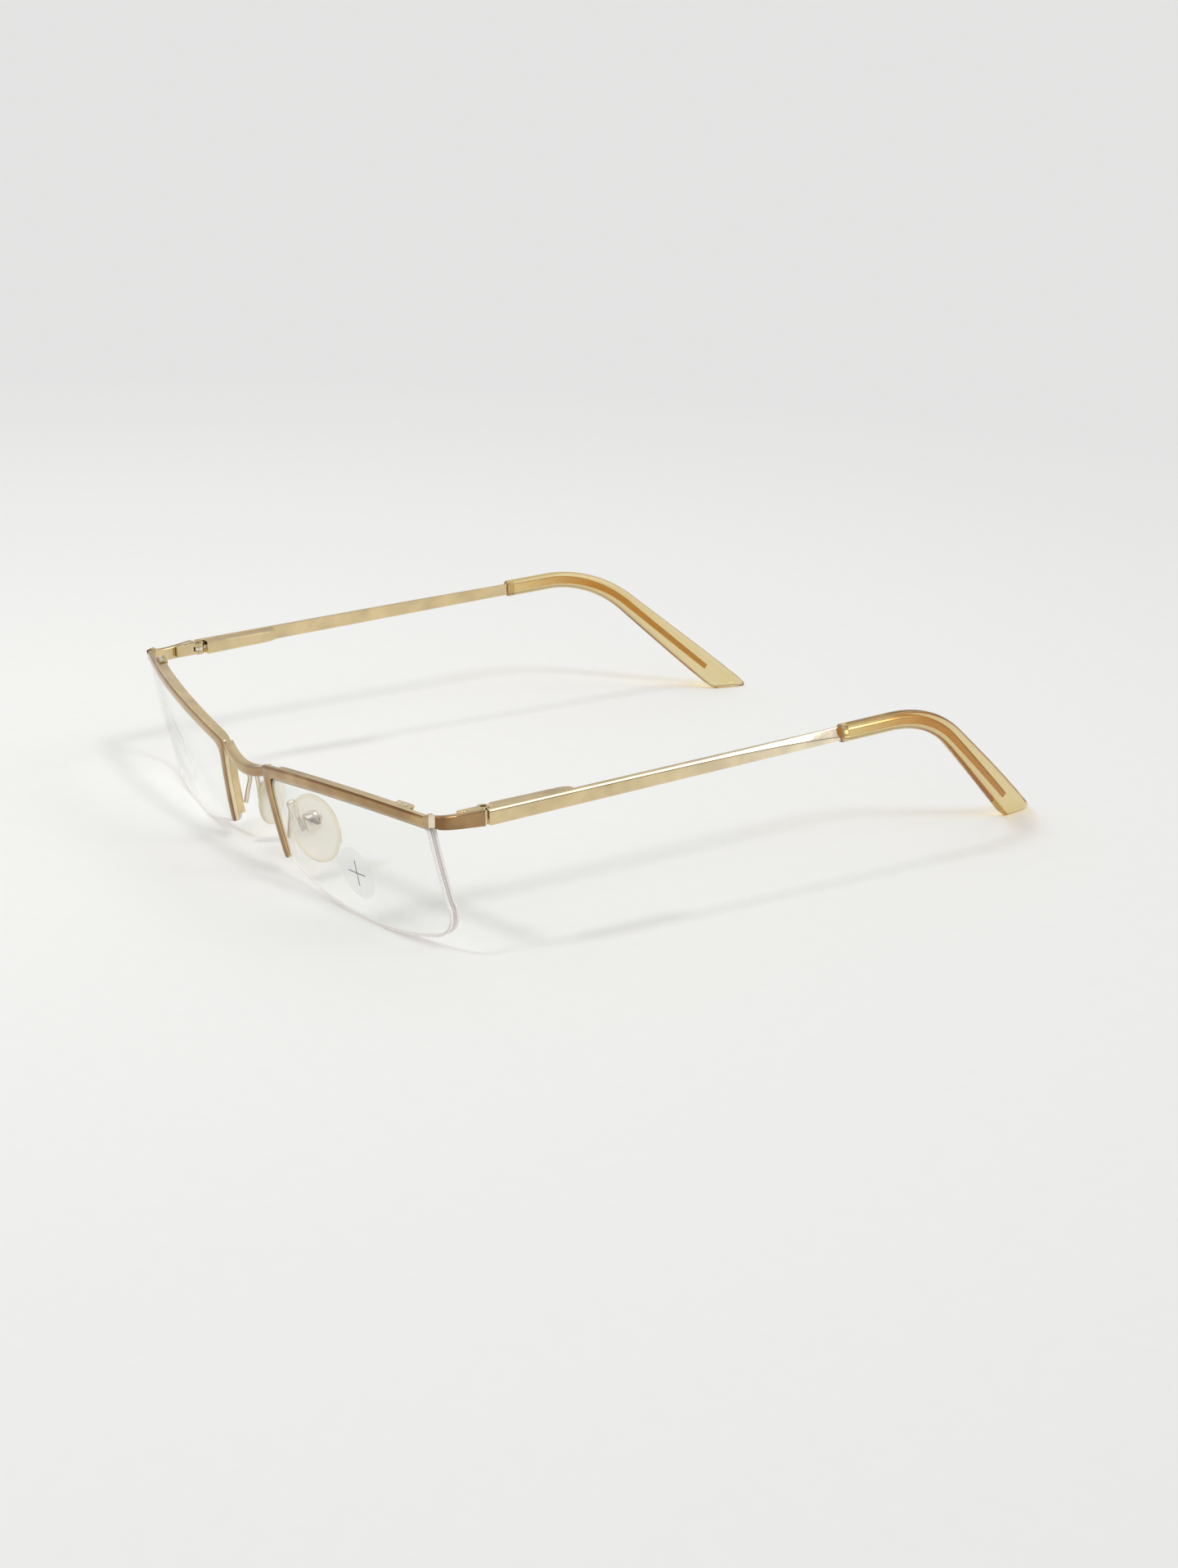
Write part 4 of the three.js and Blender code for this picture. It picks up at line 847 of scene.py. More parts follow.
ARM_ARCH_SHARE = 0.6
ARM_LIFT = 1.7
ARM_LANDING = 1.1
ARM_SIDES = 18
PALE_GOLD = "#EFE6D6"
DULL_GOLD = "#DFD6C6"
BUFF_PATCH = 1.6


def on_pad(x, y, z):
    """A point in the pad's frame: X points from the nose to the lens, Y back and Z up the pad."""
    return PAD_PLACE + PAD_TURN @ Vector((x, y, z))


def smooth_path(points, steps):
    """A curve that passes evenly through the given points, slower where they lie close together."""
    ends = [points[0] * 2 - points[1]] + points + [points[-1] * 2 - points[-2]]
    line = []
    for a, b, c, d in zip(ends, ends[1:], ends[2:], ends[3:]):
        knots_at = [0.0]
        for before, after in ((a, b), (b, c), (c, d)):
            knots_at.append(knots_at[-1] + math.sqrt((after - before).length))
        t0, t1, t2, t3 = knots_at
        for share in shares(steps)[:-1]:
            t = mix(t1, t2, share)
            ab = mix(a, b, (t - t0) / (t1 - t0))
            bc = mix(b, c, (t - t1) / (t2 - t1))
            cd = mix(c, d, (t - t2) / (t3 - t2))
            abc = mix(ab, bc, (t - t0) / (t2 - t0))
            bcd = mix(bc, cd, (t - t1) / (t3 - t1))
            line.append(mix(abc, bcd, (t - t1) / (t2 - t1)))
    return line + [points[-1]]


def arm_path():
    behind = RIM_BACK + ARM_RADIUS + SOLDER_GAP
    beside = -PAD_BOX_WIDTH / 2 - ARM_RADIUS - SOLDER_GAP
    box_x = BOX_FACE + PAD_BOX_DEPTH / 2
    feet = [(-ARM_FOOT, 0), (-ARM_FOOT / 2, ARM_LIFT / 2), (0, ARM_LIFT), (ARM_TOP, ARM_LIFT)]
    points = [on_front(nasal_at(v), behind + back, v) for v, back in feet]
    landing = on_pad(box_x, beside, PAD_BOX_RISE + PAD_BOX_HEIGHT / 2)
    points.append(mix(points[-1], landing, ARM_ARCH_SHARE) + Vector((0, 0, ARM_ARCH)))
    points += [landing, on_pad(box_x, beside, PAD_BOX_RISE - ARM_LANDING)]
    return smooth_path(points, 14)


# Pale gold flash over nickel silver, tumbled to a bright polish with tiny soft dents.
bright, tree, shader = new_material("tumbled_nickel_silver")
dents = noise(tree, BUFF_PATCH, 3.0)
flash = blend(tree, dents, linear(DULL_GOLD), linear(PALE_GOLD))
buffed = spread(tree, dents, 0.05, 0.12)
dimple = add_node(tree, "ShaderNodeBump", {
    "Height": dents, "Strength": 0.1, "Distance": POLISH_DEPTH * MM})
tree.links.new(flash, shader.inputs["Base Color"])
tree.links.new(buffed, shader.inputs["Roughness"])
tree.links.new(dimple.outputs["Normal"], shader.inputs["Normal"])
shader.inputs["Metallic"].default_value = 1.0

fit_pair("pad_arm", wire(arm_path(), ARM_RADIUS, ARM_SIDES, bright), [bright], "front")


# Pad boxes, stems and screws. A stamped cup at the end of each arm takes the metal stem of the pad,
# and a small slotted screw through both lets the pad rock.

PAD_SCREW_RADIUS = 0.3
PAD_SCREW_HEAD_RADIUS = 0.7
PAD_SCREW_HEAD_HEIGHT = 0.45
PAD_SCREW_SLOT = 0.16
SCREW_COLLAR_SHARE = 0.6
SCREW_CROWN_WIDTH = 0.78
SCREW_SLOT_OVERRUN = 3.0
SCREW_HEAD_SIDES = 40
SCREW_SHANK_SIDES = 28
FIT = 0.06
PAD_BOX_SHOULDER = 0.95
PAD_BOX_FLOOR = 0.34
PAD_BOX_FULLNESS = 0.55
PAD_BOX_DOME_POWER = 0.8
PAD_BOX_LIP = 0.94
STEM_EDGE = 0.05
WELD_REACH = 0.0005


def pad_box_mesh():
    """A cup open towards the pad: out of its floor, round its mouth and over its domed back."""
    floor = BOX_FACE + PAD_BOX_DEPTH - PAD_BOX_FLOOR
    inside = 1 - 2 * PAD_BOX_WALL / PAD_BOX_WIDTH
    stations = [(floor, inside * 0.5), (floor, inside * 0.9), (floor - PAD_BOX_WALL / 2, inside)]
    stations += [(BOX_FACE + PAD_BOX_WALL / 4, inside), (BOX_FACE, inside + 0.1), (BOX_FACE, PAD_BOX_LIP)]
    stations += [(BOX_FACE + PAD_BOX_WALL / 4, 1.0), (BOX_FACE + PAD_BOX_SHOULDER, 1.0)]
    for sine, cosine in quarter(7)[1:-1]:
        dome = (PAD_BOX_DEPTH - PAD_BOX_SHOULDER) * sine
        stations.append((BOX_FACE + PAD_BOX_SHOULDER + dome, cosine ** PAD_BOX_DOME_POWER))
    rings = []
    for x, size in stations:
        wide = PAD_BOX_WIDTH / 2 * size
        tall = PAD_BOX_HEIGHT / 2 * size
        outline = oval(36, PAD_BOX_FULLNESS)
        rings.append([on_pad(x, wide * a, PAD_BOX_RISE + tall * b) for a, b in outline])
    back = on_pad(BOX_FACE + PAD_BOX_DEPTH, 0, PAD_BOX_RISE)
    return skin("pad_box", rings, on_pad(floor, 0, PAD_BOX_RISE), back, 50)


def refined(node, edge, crease=30):
    """A copy of a CAD solid with its points merged and its sharp edges rounded over."""
    shape = bmesh.new()
    shape.from_mesh(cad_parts[node].data)
    bmesh.ops.remove_doubles(shape, verts=shape.verts, dist=WELD_REACH * MM)
    bmesh.ops.dissolve_limit(shape, angle_limit=math.radians(1), verts=shape.verts, edges=shape.edges)
    mesh = bpy.data.meshes.new(node)
    shape.to_mesh(mesh)
    shape.free()
    stock = placed("stock", mesh)
    rounder = stock.modifiers.new("rounded_edges", "BEVEL")
    rounder.limit_method = "ANGLE"
    rounder.angle_limit = math.radians(crease)
    rounder.width = edge * MM
    rounder.segments = 3
    return taken(stock, crease)


# A slotted cheese-head screw, standing on its shank along Z with the seat of its head at the origin.
screw_tree, given = new_tool(
    "slotted_screw", "Blank",
    ("Head radius", "Head height", "Shank radius", "Shank length", "Slot width"), "Screw")


def times(value, factor):
    return add_node(screw_tree, "ShaderNodeMath", {0: value, 1: factor}, operation="MULTIPLY").outputs[0]


def raised(shape, height):
    at = add_node(screw_tree, "ShaderNodeCombineXYZ", {"Z": height})
    return add_node(screw_tree, "GeometryNodeTransform", {
        "Geometry": shape.outputs["Mesh"], "Translation": at.outputs[0]}).outputs["Geometry"]


height = given["Head height"]
wide = given["Head radius"]
length = given["Shank length"]
collar = times(height, SCREW_COLLAR_SHARE)
head = add_node(screw_tree, "GeometryNodeMeshCylinder", {
    "Vertices": SCREW_HEAD_SIDES, "Radius": wide, "Depth": collar})
crown = add_node(screw_tree, "GeometryNodeMeshCone", {
    "Vertices": SCREW_HEAD_SIDES, "Radius Top": times(wide, SCREW_CROWN_WIDTH), "Radius Bottom": wide,
    "Depth": times(height, 1 - SCREW_COLLAR_SHARE)})
shank = add_node(screw_tree, "GeometryNodeMeshCylinder", {
    "Vertices": SCREW_SHANK_SIDES, "Radius": given["Shank radius"], "Depth": length})
slot_size = add_node(screw_tree, "ShaderNodeCombineXYZ", {
    "X": times(wide, SCREW_SLOT_OVERRUN), "Y": given["Slot width"], "Z": height})
slot = add_node(screw_tree, "GeometryNodeMeshCube", {"Size": slot_size.outputs[0]})
blank = add_node(screw_tree, "GeometryNodeMeshBoolean", {
    "Mesh": raised(head, times(collar, 0.5))}, operation="UNION")
for solid in (raised(crown, collar), raised(shank, times(length, -0.5))):
    screw_tree.links.new(solid, blank.inputs["Mesh"])
filed = add_node(screw_tree, "GeometryNodeMeshBoolean", {
    "Mesh 1": blank.outputs["Mesh"], "Mesh 2": raised(slot, height)}, operation="DIFFERENCE")
end_tool(screw_tree, filed.outputs["Mesh"], given["Finish"], "Screw")


def screw(head_radius, head_height, shank_radius, shank_length, slot_width, seat_at, turn):
    """A screw with its seat at a point, its shank running along -Z of the given turn."""
    sizes = {
        "Head radius": head_radius * MM, "Head height": head_height * MM,
        "Shank radius": shank_radius * MM, "Shank length": shank_length * MM,
        "Slot width": slot_width * MM, "Finish": bright,
    }
    made = worked(screw_tree, bpy.data.meshes.new("blank"), sizes)
    made.transform(Matrix.Translation(seat_at * MM) @ turn.to_4x4())
    return made


fit_pair("pad_box", pad_box_mesh(), [bright], "front")
fit_pair("pad_stem", refined("left_pad_stem", STEM_EDGE), [bright], "pad")
pad_screw_seat = on_pad(
    BOX_FACE + (PAD_BOX_DEPTH - PAD_BOX_WALL) / 2, PAD_BOX_WIDTH / 2 + FIT, PAD_BOX_RISE)
pad_screw = screw(
    PAD_SCREW_HEAD_RADIUS, PAD_SCREW_HEAD_HEIGHT, PAD_SCREW_RADIUS, PAD_BOX_WIDTH + FIT, PAD_SCREW_SLOT,
    pad_screw_seat, PAD_TURN @ Matrix.Rotation(math.radians(-90), 3, "X"))
fit_pair("pad_screw", pad_screw, [bright], "front")


# Nose pads. Soft oval cushions moulded in clear silicone round a metal stem, domed towards the nose.
# They are faintly cream, with a yellower shade painted at the rim for the thicker look of the clear edge.

PAD_HALF_LENGTH = 6.9
PAD_HALF_WIDTH = 4.3
PAD_EDGE = 0.6
PAD_DISH = 0.25
PAD_BACK_SHARES = (0.75, 0.6, 0.45, 0.3, 0.15)
PAD_CREAM = "#FAF7EE"
# The yellower rim colour is painted shade for the thicker look of the clear edge.
PAD_RIM_PAINTED_SHADE = "#EFE6CC"
PAD_SHADOW = "#D8D2BC"
PAD_RIM_SHADE_FROM = 0.92
PAD_CLOUD = 2.5
SILICONE_IOR = 1.41


def pad_rings():
    stations = [(-PAD_BACK * cosine, sine, 0.0) for sine, cosine in quarter(14)[1:]]
    for sine, cosine in quarter(6)[1:]:
        stations.append((PAD_BACK - PAD_EDGE * (1 - sine), 1.0, PAD_EDGE * (1 - cosine)))
    stations += [(PAD_BACK - PAD_DISH * (1 - size), size, 0.0) for size in PAD_BACK_SHARES]
    rings = []
    for x, size, inset in stations:
        wide = PAD_HALF_WIDTH * size - inset
        long = PAD_HALF_LENGTH * size - inset
        rings.append([on_pad(x, wide * a, long * b) for a, b in oval(64)])
    return rings, [size for _, size, _ in stations]


# Clear silicone rubber, moulded: milky, soft and slightly satin, with a yellower painted shade at the rim.
silicone, tree, shader = new_material("moulded_clear_silicone")
out = painted(tree, "rim_share")
cloudy = noise(tree, PAD_CLOUD, 2.0)
rim_shade_share = spread(tree, out, 0.0, 1.0, PAD_RIM_SHADE_FROM, 1.0)
rim_shaded = blend(tree, rim_shade_share, linear(PAD_CREAM), linear(PAD_RIM_PAINTED_SHADE))
skin_gloss = spread(tree, cloudy, 0.34, 0.44)
tree.links.new(rim_shaded, shader.inputs["Base Color"])
tree.links.new(skin_gloss, shader.inputs["Roughness"])
shader.inputs["Transmission Weight"].default_value = 0.7
shader.inputs["IOR"].default_value = SILICONE_IOR
pass_light(tree, shader, PAD_SHADOW)

rings, rim_shares = pad_rings()
pad = skin("nose_pad", rings, on_pad(-PAD_BACK, 0, 0), on_pad(PAD_BACK - PAD_DISH, 0, 0), 60)
paint(pad, "rim_share", [share for share in rim_shares for _ in rings[0]])
for piece in fit_pair("nose_pad", pad, [silicone], "pad"):
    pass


# Flex hinges. A lug with two eyelets is soldered inside each endpiece, and between them turns the
# eyelet of a steel tongue, on a slotted screw. The tongue slides in a gold box on the temple, pulled
# in by a small coil spring that presses back on its collar.

SCREW_RADIUS = 0.5
SCREW_HEAD_RADIUS = 0.85
SCREW_HEAD_HEIGHT = 0.4
SCREW_SLOT = 0.25
EYELET_HEIGHT = 0.75
TONGUE_HEIGHT = 0.8
SHANK_RADIUS = 0.34
SHANK_LENGTH = 12.5
STOP_LENGTH = 1.0
STOP_MARGIN = 0.5
SPRING_WIRE_RADIUS = 0.11
SPRING_WIRE_SIDES = 10
SPRING_STEPS = 32
SPRING_FRONT_TURNS = 4
SPRING_REAR_TURNS = 3
SPRING_BOX_SETBACK = 1.7
SPRING_BOX_WALL = 1.2
SPRING_BOX_BORE = 0.76
LUG_EDGE = 0.1
TONGUE_EDGE = 0.05
BOX_EDGE = 0.18
STACK = TONGUE_HEIGHT / 2 + FIT + EYELET_HEIGHT
STOP_FRONT = SHANK_LENGTH - STOP_MARGIN - STOP_LENGTH
SPRING_FRONT = SPRING_BOX_SETBACK + SPRING_BOX_WALL + FIT
SPRING_BACK = STOP_FRONT - FIT

fit_pair("hinge_lug", refined("left_hinge_lug", LUG_EDGE), [gold], "front")
hinge_screw = screw(
    SCREW_HEAD_RADIUS, SCREW_HEAD_HEIGHT, SCREW_RADIUS, 2 * STACK + FIT, SCREW_SLOT,
    on_hinge(0, 0, STACK + FIT), HINGE_TURN)
fit_pair("hinge_screw", hinge_screw, [bright], "screw")
fit_pair("flex_tongue", refined("left_flex_tongue", TONGUE_EDGE), [bright], "tongue")
fit_pair("spring_stop", refined("left_spring_stop", TONGUE_EDGE), [bright], "tongue")

# A close round coil of wire, standing along Z from the origin.
coil_tree, given = new_tool(
    "coil_spring", "Blank", ("Turns", "Coil radius", "Length", "Wire radius"), "Spring")
coil = add_node(coil_tree, "GeometryNodeCurveSpiral", {
    "Resolution": SPRING_STEPS, "Rotations": given["Turns"], "Start Radius": given["Coil radius"],
    "End Radius": given["Coil radius"], "Height": given["Length"]})
drawn = draw_wire(coil_tree, coil.outputs["Curve"], SPRING_WIRE_SIDES, given["Wire radius"])
end_tool(coil_tree, drawn, given["Finish"], "Spring")

# The coil is drawn in two lengths. The front turns stay in the box, and the rear turns go with the
# collar and close up on them as the temple is bent outwards.
spring_start = SPRING_FRONT + 2 * SPRING_WIRE_RADIUS
spring_end = SPRING_BACK - 2 * SPRING_WIRE_RADIUS
spring_pitch = (spring_end - spring_start) / (SPRING_FRONT_TURNS + SPRING_REAR_TURNS)
spring_split = spring_start + SPRING_FRONT_TURNS * spring_pitch
lying = (HINGE_TURN @ Matrix.Rotation(math.radians(-90), 3, "X")).to_4x4()
for part, turns, start, body in (
        ("front_turns", SPRING_FRONT_TURNS, spring_start, "temple"),
        ("rear_turns", SPRING_REAR_TURNS, spring_split, "tongue")):
    spring = worked(coil_tree, bpy.data.meshes.new("blank"), {
        "Turns": float(turns), "Coil radius": (SHANK_RADIUS + SPRING_BOX_BORE) / 2 * MM,
        "Length": turns * spring_pitch * MM, "Wire radius": SPRING_WIRE_RADIUS * MM,
        "Finish": bright})
    spring.transform(Matrix.Translation(on_hinge(0, start, 0) * MM) @ lying)
    fit_pair("flex_spring", spring, [bright], body, part)
fit_pair("spring_box", refined("left_spring_box", BOX_EDGE), [gold], "temple")


# Temples. Flat drawn bars of the same plated alloy, with a polished chamfer along their upper outer
# edge. They grow slimmer towards the back, where the chamfer widens, and a thin flat core of brass
# runs on inside the tip. A pale painted highlight lies on the outer face and chamfer, growing
# towards the back, and on the core just inside the tip.

TEMPLE_REAR_HEIGHT = 2.6
TEMPLE_THICKNESS = 1.25
TEMPLE_EDGE = 0.2
TEMPLE_CHAMFER = 0.6
TEMPLE_REAR_CHAMFER = 2.3
CHAMFER_LEAN = math.radians(35)
REAR_CHAMFER_LEAN = math.radians(24)
TEMPLE_START_BEVEL = 0.2
BAR_SEAT = 1.8
BAR_RINGS = 40
CHAMFER_GROWTH = 5
CORE_HEIGHT = 1.6
CORE_THICKNESS = 0.8
CORE_EDGE = 0.12
CORE_RINGS = 60
CORE_BRASS = "#EBB75C"
CORE_TARNISH = "#D69C4C"
CORE_SCALE = 2.5
# The temple shares below set the painted highlight on the bar's outer face and on the core.
CORE_HIGHLIGHT_RINGS = 22
TEMPLE_PAINTED_HIGHLIGHT = 0.95
TEMPLE_HIGHLIGHT_GROWTH = 2.5
OUTER_FACE_POINTS = range(4, 16)
PLATED_ROUGHNESS = 0.12
CORE_END_HEIGHT = 1.15
CORE_END_MARGIN = 10
TIP_START = 76.7
BEND_START = 88
BEND_RADIUS = 27
DROP_ANGLE = math.radians(44.3)
DROP_LENGTH = 35
TIP_INWARD = 10.5
TIP_INWARD_LENGTH = 41
TIP_INWARD_POWER = 1.5
BEND_LENGTH = BEND_RADIUS * DROP_ANGLE
TEMPLE_LENGTH = BEND_START + BEND_LENGTH + DROP_LENGTH


def temple_at(length):
    """Middle and up of the temple at a length from the screw: straight, round the bend, then down."""
    turned = min(DROP_ANGLE, max(0, (length - BEND_START) / BEND_RADIUS))
    dropped = max(0, length - BEND_START - BEND_LENGTH)
    y = min(length, BEND_START) + BEND_RADIUS * math.sin(turned) + dropped * math.cos(DROP_ANGLE)
    z = -TEMPLE_DROP - BEND_RADIUS * (1 - math.cos(turned)) - dropped * math.sin(DROP_ANGLE)
    inward = TIP_INWARD * (max(0, y - BEND_START) / TIP_INWARD_LENGTH) ** TIP_INWARD_POWER
    middle = on_hinge(SCREW_INSET - TEMPLE_THICKNESS / 2 - inward, y, z)
    return middle, HINGE_TURN @ Vector((0, math.sin(turned), math.cos(turned)))


def temple_ring(length, thickness, height, chamfer, lean, edge):
    """A section of the bar, with a polished chamfer along its upper outer edge."""
    middle, up = temple_at(length)
    side = HINGE_TURN @ Vector((1, 0, 0))
    top = height / 2
    across = chamfer * math.sin(lean)
    down = chamfer * math.cos(lean)
    corners = [Vector(pair) for pair in (
        (thickness, top), (across, top), (0, top - down), (0, -top), (thickness, -top))]
    section = []
    for i, here in enumerate(corners):
        start = here + (corners[i - 1] - here).normalized() * edge
        end = here + (corners[(i + 1) % 5] - here).normalized() * edge
        section += rounded_corner(start, here, end, 3)
    return [middle + side * (thickness / 2 - at.x) + up * at.y for at in section]


def temple_rings():
    start = JOINT_GAP / 2 - SCREW_SETBACK
    bevel = TEMPLE_START_BEVEL
    thin = TEMPLE_THICKNESS - bevel
    low = TEMPLE_FRONT_HEIGHT - bevel
    rings = [temple_ring(start, thin, low, TEMPLE_CHAMFER, CHAMFER_LEAN, TEMPLE_EDGE)]
    for share in shares(BAR_RINGS):
        length = mix(start + bevel, TIP_START + BAR_SEAT, share)
        height = mix(TEMPLE_FRONT_HEIGHT, TEMPLE_REAR_HEIGHT, share)
        chamfer = mix(TEMPLE_CHAMFER, TEMPLE_REAR_CHAMFER, share ** CHAMFER_GROWTH)
        lean = mix(CHAMFER_LEAN, REAR_CHAMFER_LEAN, share ** CHAMFER_GROWTH)
        rings.append(temple_ring(length, TEMPLE_THICKNESS, height, chamfer, lean, TEMPLE_EDGE))
    core_end = TEMPLE_LENGTH - CORE_END_MARGIN
    for share in shares(CORE_RINGS):
        length = mix(TIP_START + BAR_SEAT + SEAM, core_end, share)
        height = mix(CORE_HEIGHT, CORE_END_HEIGHT, share)
        rings.append(temple_ring(length, CORE_THICKNESS, height, 3 * CORE_EDGE, CHAMFER_LEAN, CORE_EDGE))
    return rings


# Rolled brass, left raw under the plastic: satin and warmer than the plated bar. Near the mouth of
# the tip it is painted pale gold and made glossier: a painted highlight.
brass, tree, shader = new_material("rolled_brass_core")
scale = noise(tree, CORE_SCALE, 3.0)
tarnish = blend(tree, scale, linear(CORE_TARNISH), linear(CORE_BRASS))
rolled = spread(tree, scale, 0.25, 0.36)
highlight_share = painted(tree, "painted_highlight")
highlit_core = blend(tree, highlight_share, tarnish, linear(HIGHLIGHT_GOLD))
gloss = add_node(tree, "ShaderNodeMix", {
    "Factor": highlight_share, 2: rolled, 3: PLATED_ROUGHNESS}, data_type="FLOAT")
tree.links.new(highlit_core, shader.inputs["Base Color"])
tree.links.new(gloss.outputs[0], shader.inputs["Roughness"])
shader.inputs["Metallic"].default_value = 1.0

rings = temple_rings()
temple = skin("temple_bar", rings, crease=25)
for polygon in temple.polygons:
    polygon.material_index = 1 if polygon.index >= (BAR_RINGS + 1) * len(rings[0]) else 0
temple.polygons[-2].material_index = 0
# Pale painted highlight: along the outer face and chamfer, growing towards the back, and on the core just
# inside the tip.
highlight_shares = []
for i in range(len(rings)):
    in_core = i > BAR_RINGS + 1
    behind = TEMPLE_PAINTED_HIGHLIGHT * min(1, i / BAR_RINGS) ** TEMPLE_HIGHLIGHT_GROWTH
    if in_core:
        behind = TEMPLE_PAINTED_HIGHLIGHT * max(0, 1 - (i - BAR_RINGS - 2) / CORE_HIGHLIGHT_RINGS)
    highlight_shares += [behind if in_core or k in OUTER_FACE_POINTS else 0.0 for k in range(len(rings[0]))]
paint(temple, "painted_highlight", highlight_shares)
fit_pair("temple_bar", temple, [gold, brass], "temple")


# Temple tips. Sleeves of clear amber cellulose propionate, pushed hot over the flat core of the
# temple and bent with it. They flare to a blade, and their ends are ground level with the table.

TIP_ROUND = 0.5
TIP_HEIGHT = 3.58
TIP_FLARE_HEIGHT = 6.2
TIP_THICKNESS = 2.7
TIP_END_THICKNESS = 2.2
TIP_FULLNESS = 0.75
TIP_END_ROUND = 0.85
TIP_CORNER_ROUND = 1.7
TIP_SAWN = 7.0
TIP_AMBER = "#FBF4DC"
TIP_SHADE = "#F3E8C6"
TIP_CUT = "#C98A3C"
TIP_SHADOW = "#EFE2B8"
TIP_DEEP_AMBER = "#E9D255"
TIP_DENSITY = 270.0
CUT_ROUGHNESS = 0.3
CUT_CLEARNESS = 0.35
PROPIONATE_IOR = 1.47
FLOW_STREAK = 3.0
MOUTH_RINGS = 5
GROUND_RINGS = 4


def tip_ring(length, inset):
    middle, up = temple_at(length)
    side = HINGE_TURN @ Vector((1, 0, 0))
    reach = min(1, max(0, (length - BEND_START) / (TEMPLE_LENGTH - BEND_START)))
    flare = reach * reach * (3 - 2 * reach)
    half_thick = mix(TIP_THICKNESS, TIP_END_THICKNESS, flare) / 2 - inset
    half_height = mix(TIP_HEIGHT, TIP_FLARE_HEIGHT, flare) / 2 - inset
    outline = oval(36, TIP_FULLNESS)
    return [middle + side * half_thick * a + up * half_height * b for a, b in outline]


def tip_mesh():
    rings = []
    for sine, cosine in quarter(MOUTH_RINGS + 1)[:-1]:
        rings.append(tip_ring(TIP_START + TIP_ROUND * (1 - cosine), TIP_ROUND * (1 - sine)))
    saw = TEMPLE_LENGTH - TIP_SAWN
    rings += [tip_ring(mix(TIP_START + TIP_ROUND, saw, share), 0) for share in shares(90)]
    last = rings[-1]
    way = temple_at(saw)[0] - temple_at(saw - 1)[0]
    loop = [here + way * here.z / -way.z for here in last]
    inwards = []
    for i in range(len(loop)):
        along = (loop[(i + 1) % len(loop)] - loop[i - 1]).normalized()
        inwards.append(Vector((-along.y, along.x, 0)))
    rounds = [mix(TIP_END_ROUND, TIP_CORNER_ROUND, abs(inward.y) ** 2) for inward in inwards]
    level = []
    for here, bend in zip(last, rounds):
        level.append(here + way * min((here.z - bend) / -way.z, TIP_SAWN - bend))
    rings += [[mix(a, b, share) for a, b in zip(last, level)] for share in shares(8)[1:]]
    for sine, cosine in quarter(8)[1:]:
        ring = []
        for here, bend, inward in zip(level, rounds, inwards):
            sunk = way * (bend * sine) / -way.z
            ring.append(here + sunk + inward * bend * (1 - cosine))
        rings.append(ring)
    mesh = skin("temple_tip", rings, crease=50)
    last = len(rings) - 1
    cuts = [max(0, 1 - i / MOUTH_RINGS, 1 - (last - i) / GROUND_RINGS) for i in range(len(rings))]
    paint(mesh, "cut_share", [share for share in cuts for _ in rings[0]])
    return mesh


# Clear amber cellulose propionate, moulded: deeper in colour where light passes through more of it,
# with faint streaks from the way it flowed into the mould. Where it is cut it is satin, not clear.
amber, tree, shader = new_material("clear_amber_cellulose_propionate")
flow = noise(tree, FLOW_STREAK, 2.0)
streak = blend(tree, flow, linear(TIP_SHADE), linear(TIP_AMBER))
polish = spread(tree, flow, 0.03, 0.09)
cut = painted(tree, "cut_share")
tint = blend(tree, cut, streak, linear(TIP_CUT))
matting = spread(tree, cut, polish, CUT_ROUGHNESS, 0.0, 1.0)
clear = spread(tree, cut, 1.0, CUT_CLEARNESS, 0.0, 1.0)
tree.links.new(tint, shader.inputs["Base Color"])
tree.links.new(matting, shader.inputs["Roughness"])
tree.links.new(clear, shader.inputs["Transmission Weight"])
shader.inputs["IOR"].default_value = PROPIONATE_IOR
depth = add_node(tree, "ShaderNodeVolumeAbsorption", {
    "Color": linear(TIP_DEEP_AMBER), "Density": TIP_DENSITY})
pass_light(tree, shader, TIP_SHADOW)
tree.links.new(depth.outputs["Volume"], tree.nodes["Material Output"].inputs["Volume"])

fit_pair("temple_tip", tip_mesh(), [amber], "temple")


# Lens film. A round of clear cling film lies on the front of the left lens, as on a lens that hasn't
# been fitted yet. A fine printed cross on it marks the optical centre.

FILM_U = 1.6
FILM_V = -3.4
FILM_RADIUS = 5.2
FILM_THICKNESS = 0.06
CROSS_REACH = 2.6
CROSS_WIDTH = 0.22
FILM_CLEAR = "#F2F3F2"
PRINT_GREY = "#6C6A6C"
PRINT_THIN = "#8B898B"
PRINT_SPECK = 0.4
FILM_CREASE = 2.2
FILM_OPACITY = 0.28
FILM_SHARES = (0.2, 0.5, 0.8, 1)


def film_mesh():
    front = LENS_MIDDLE - LENS_THICKNESS / 2
    rings = []
    stations = [(size, 0) for size in FILM_SHARES] + [(size, 1) for size in reversed(FILM_SHARES)]
    for size, layer in stations:
        depth = front - SEAM - FILM_THICKNESS * (1 - layer)
        reach = FILM_RADIUS * size
        rings.append([on_front(FILM_U + reach * a, depth, FILM_V + reach * b) for a, b in oval(72)])
    top = on_front(FILM_U, front - SEAM - FILM_THICKNESS, FILM_V)
    return skin("film", rings, top, on_front(FILM_U, front - SEAM, FILM_V), 60)


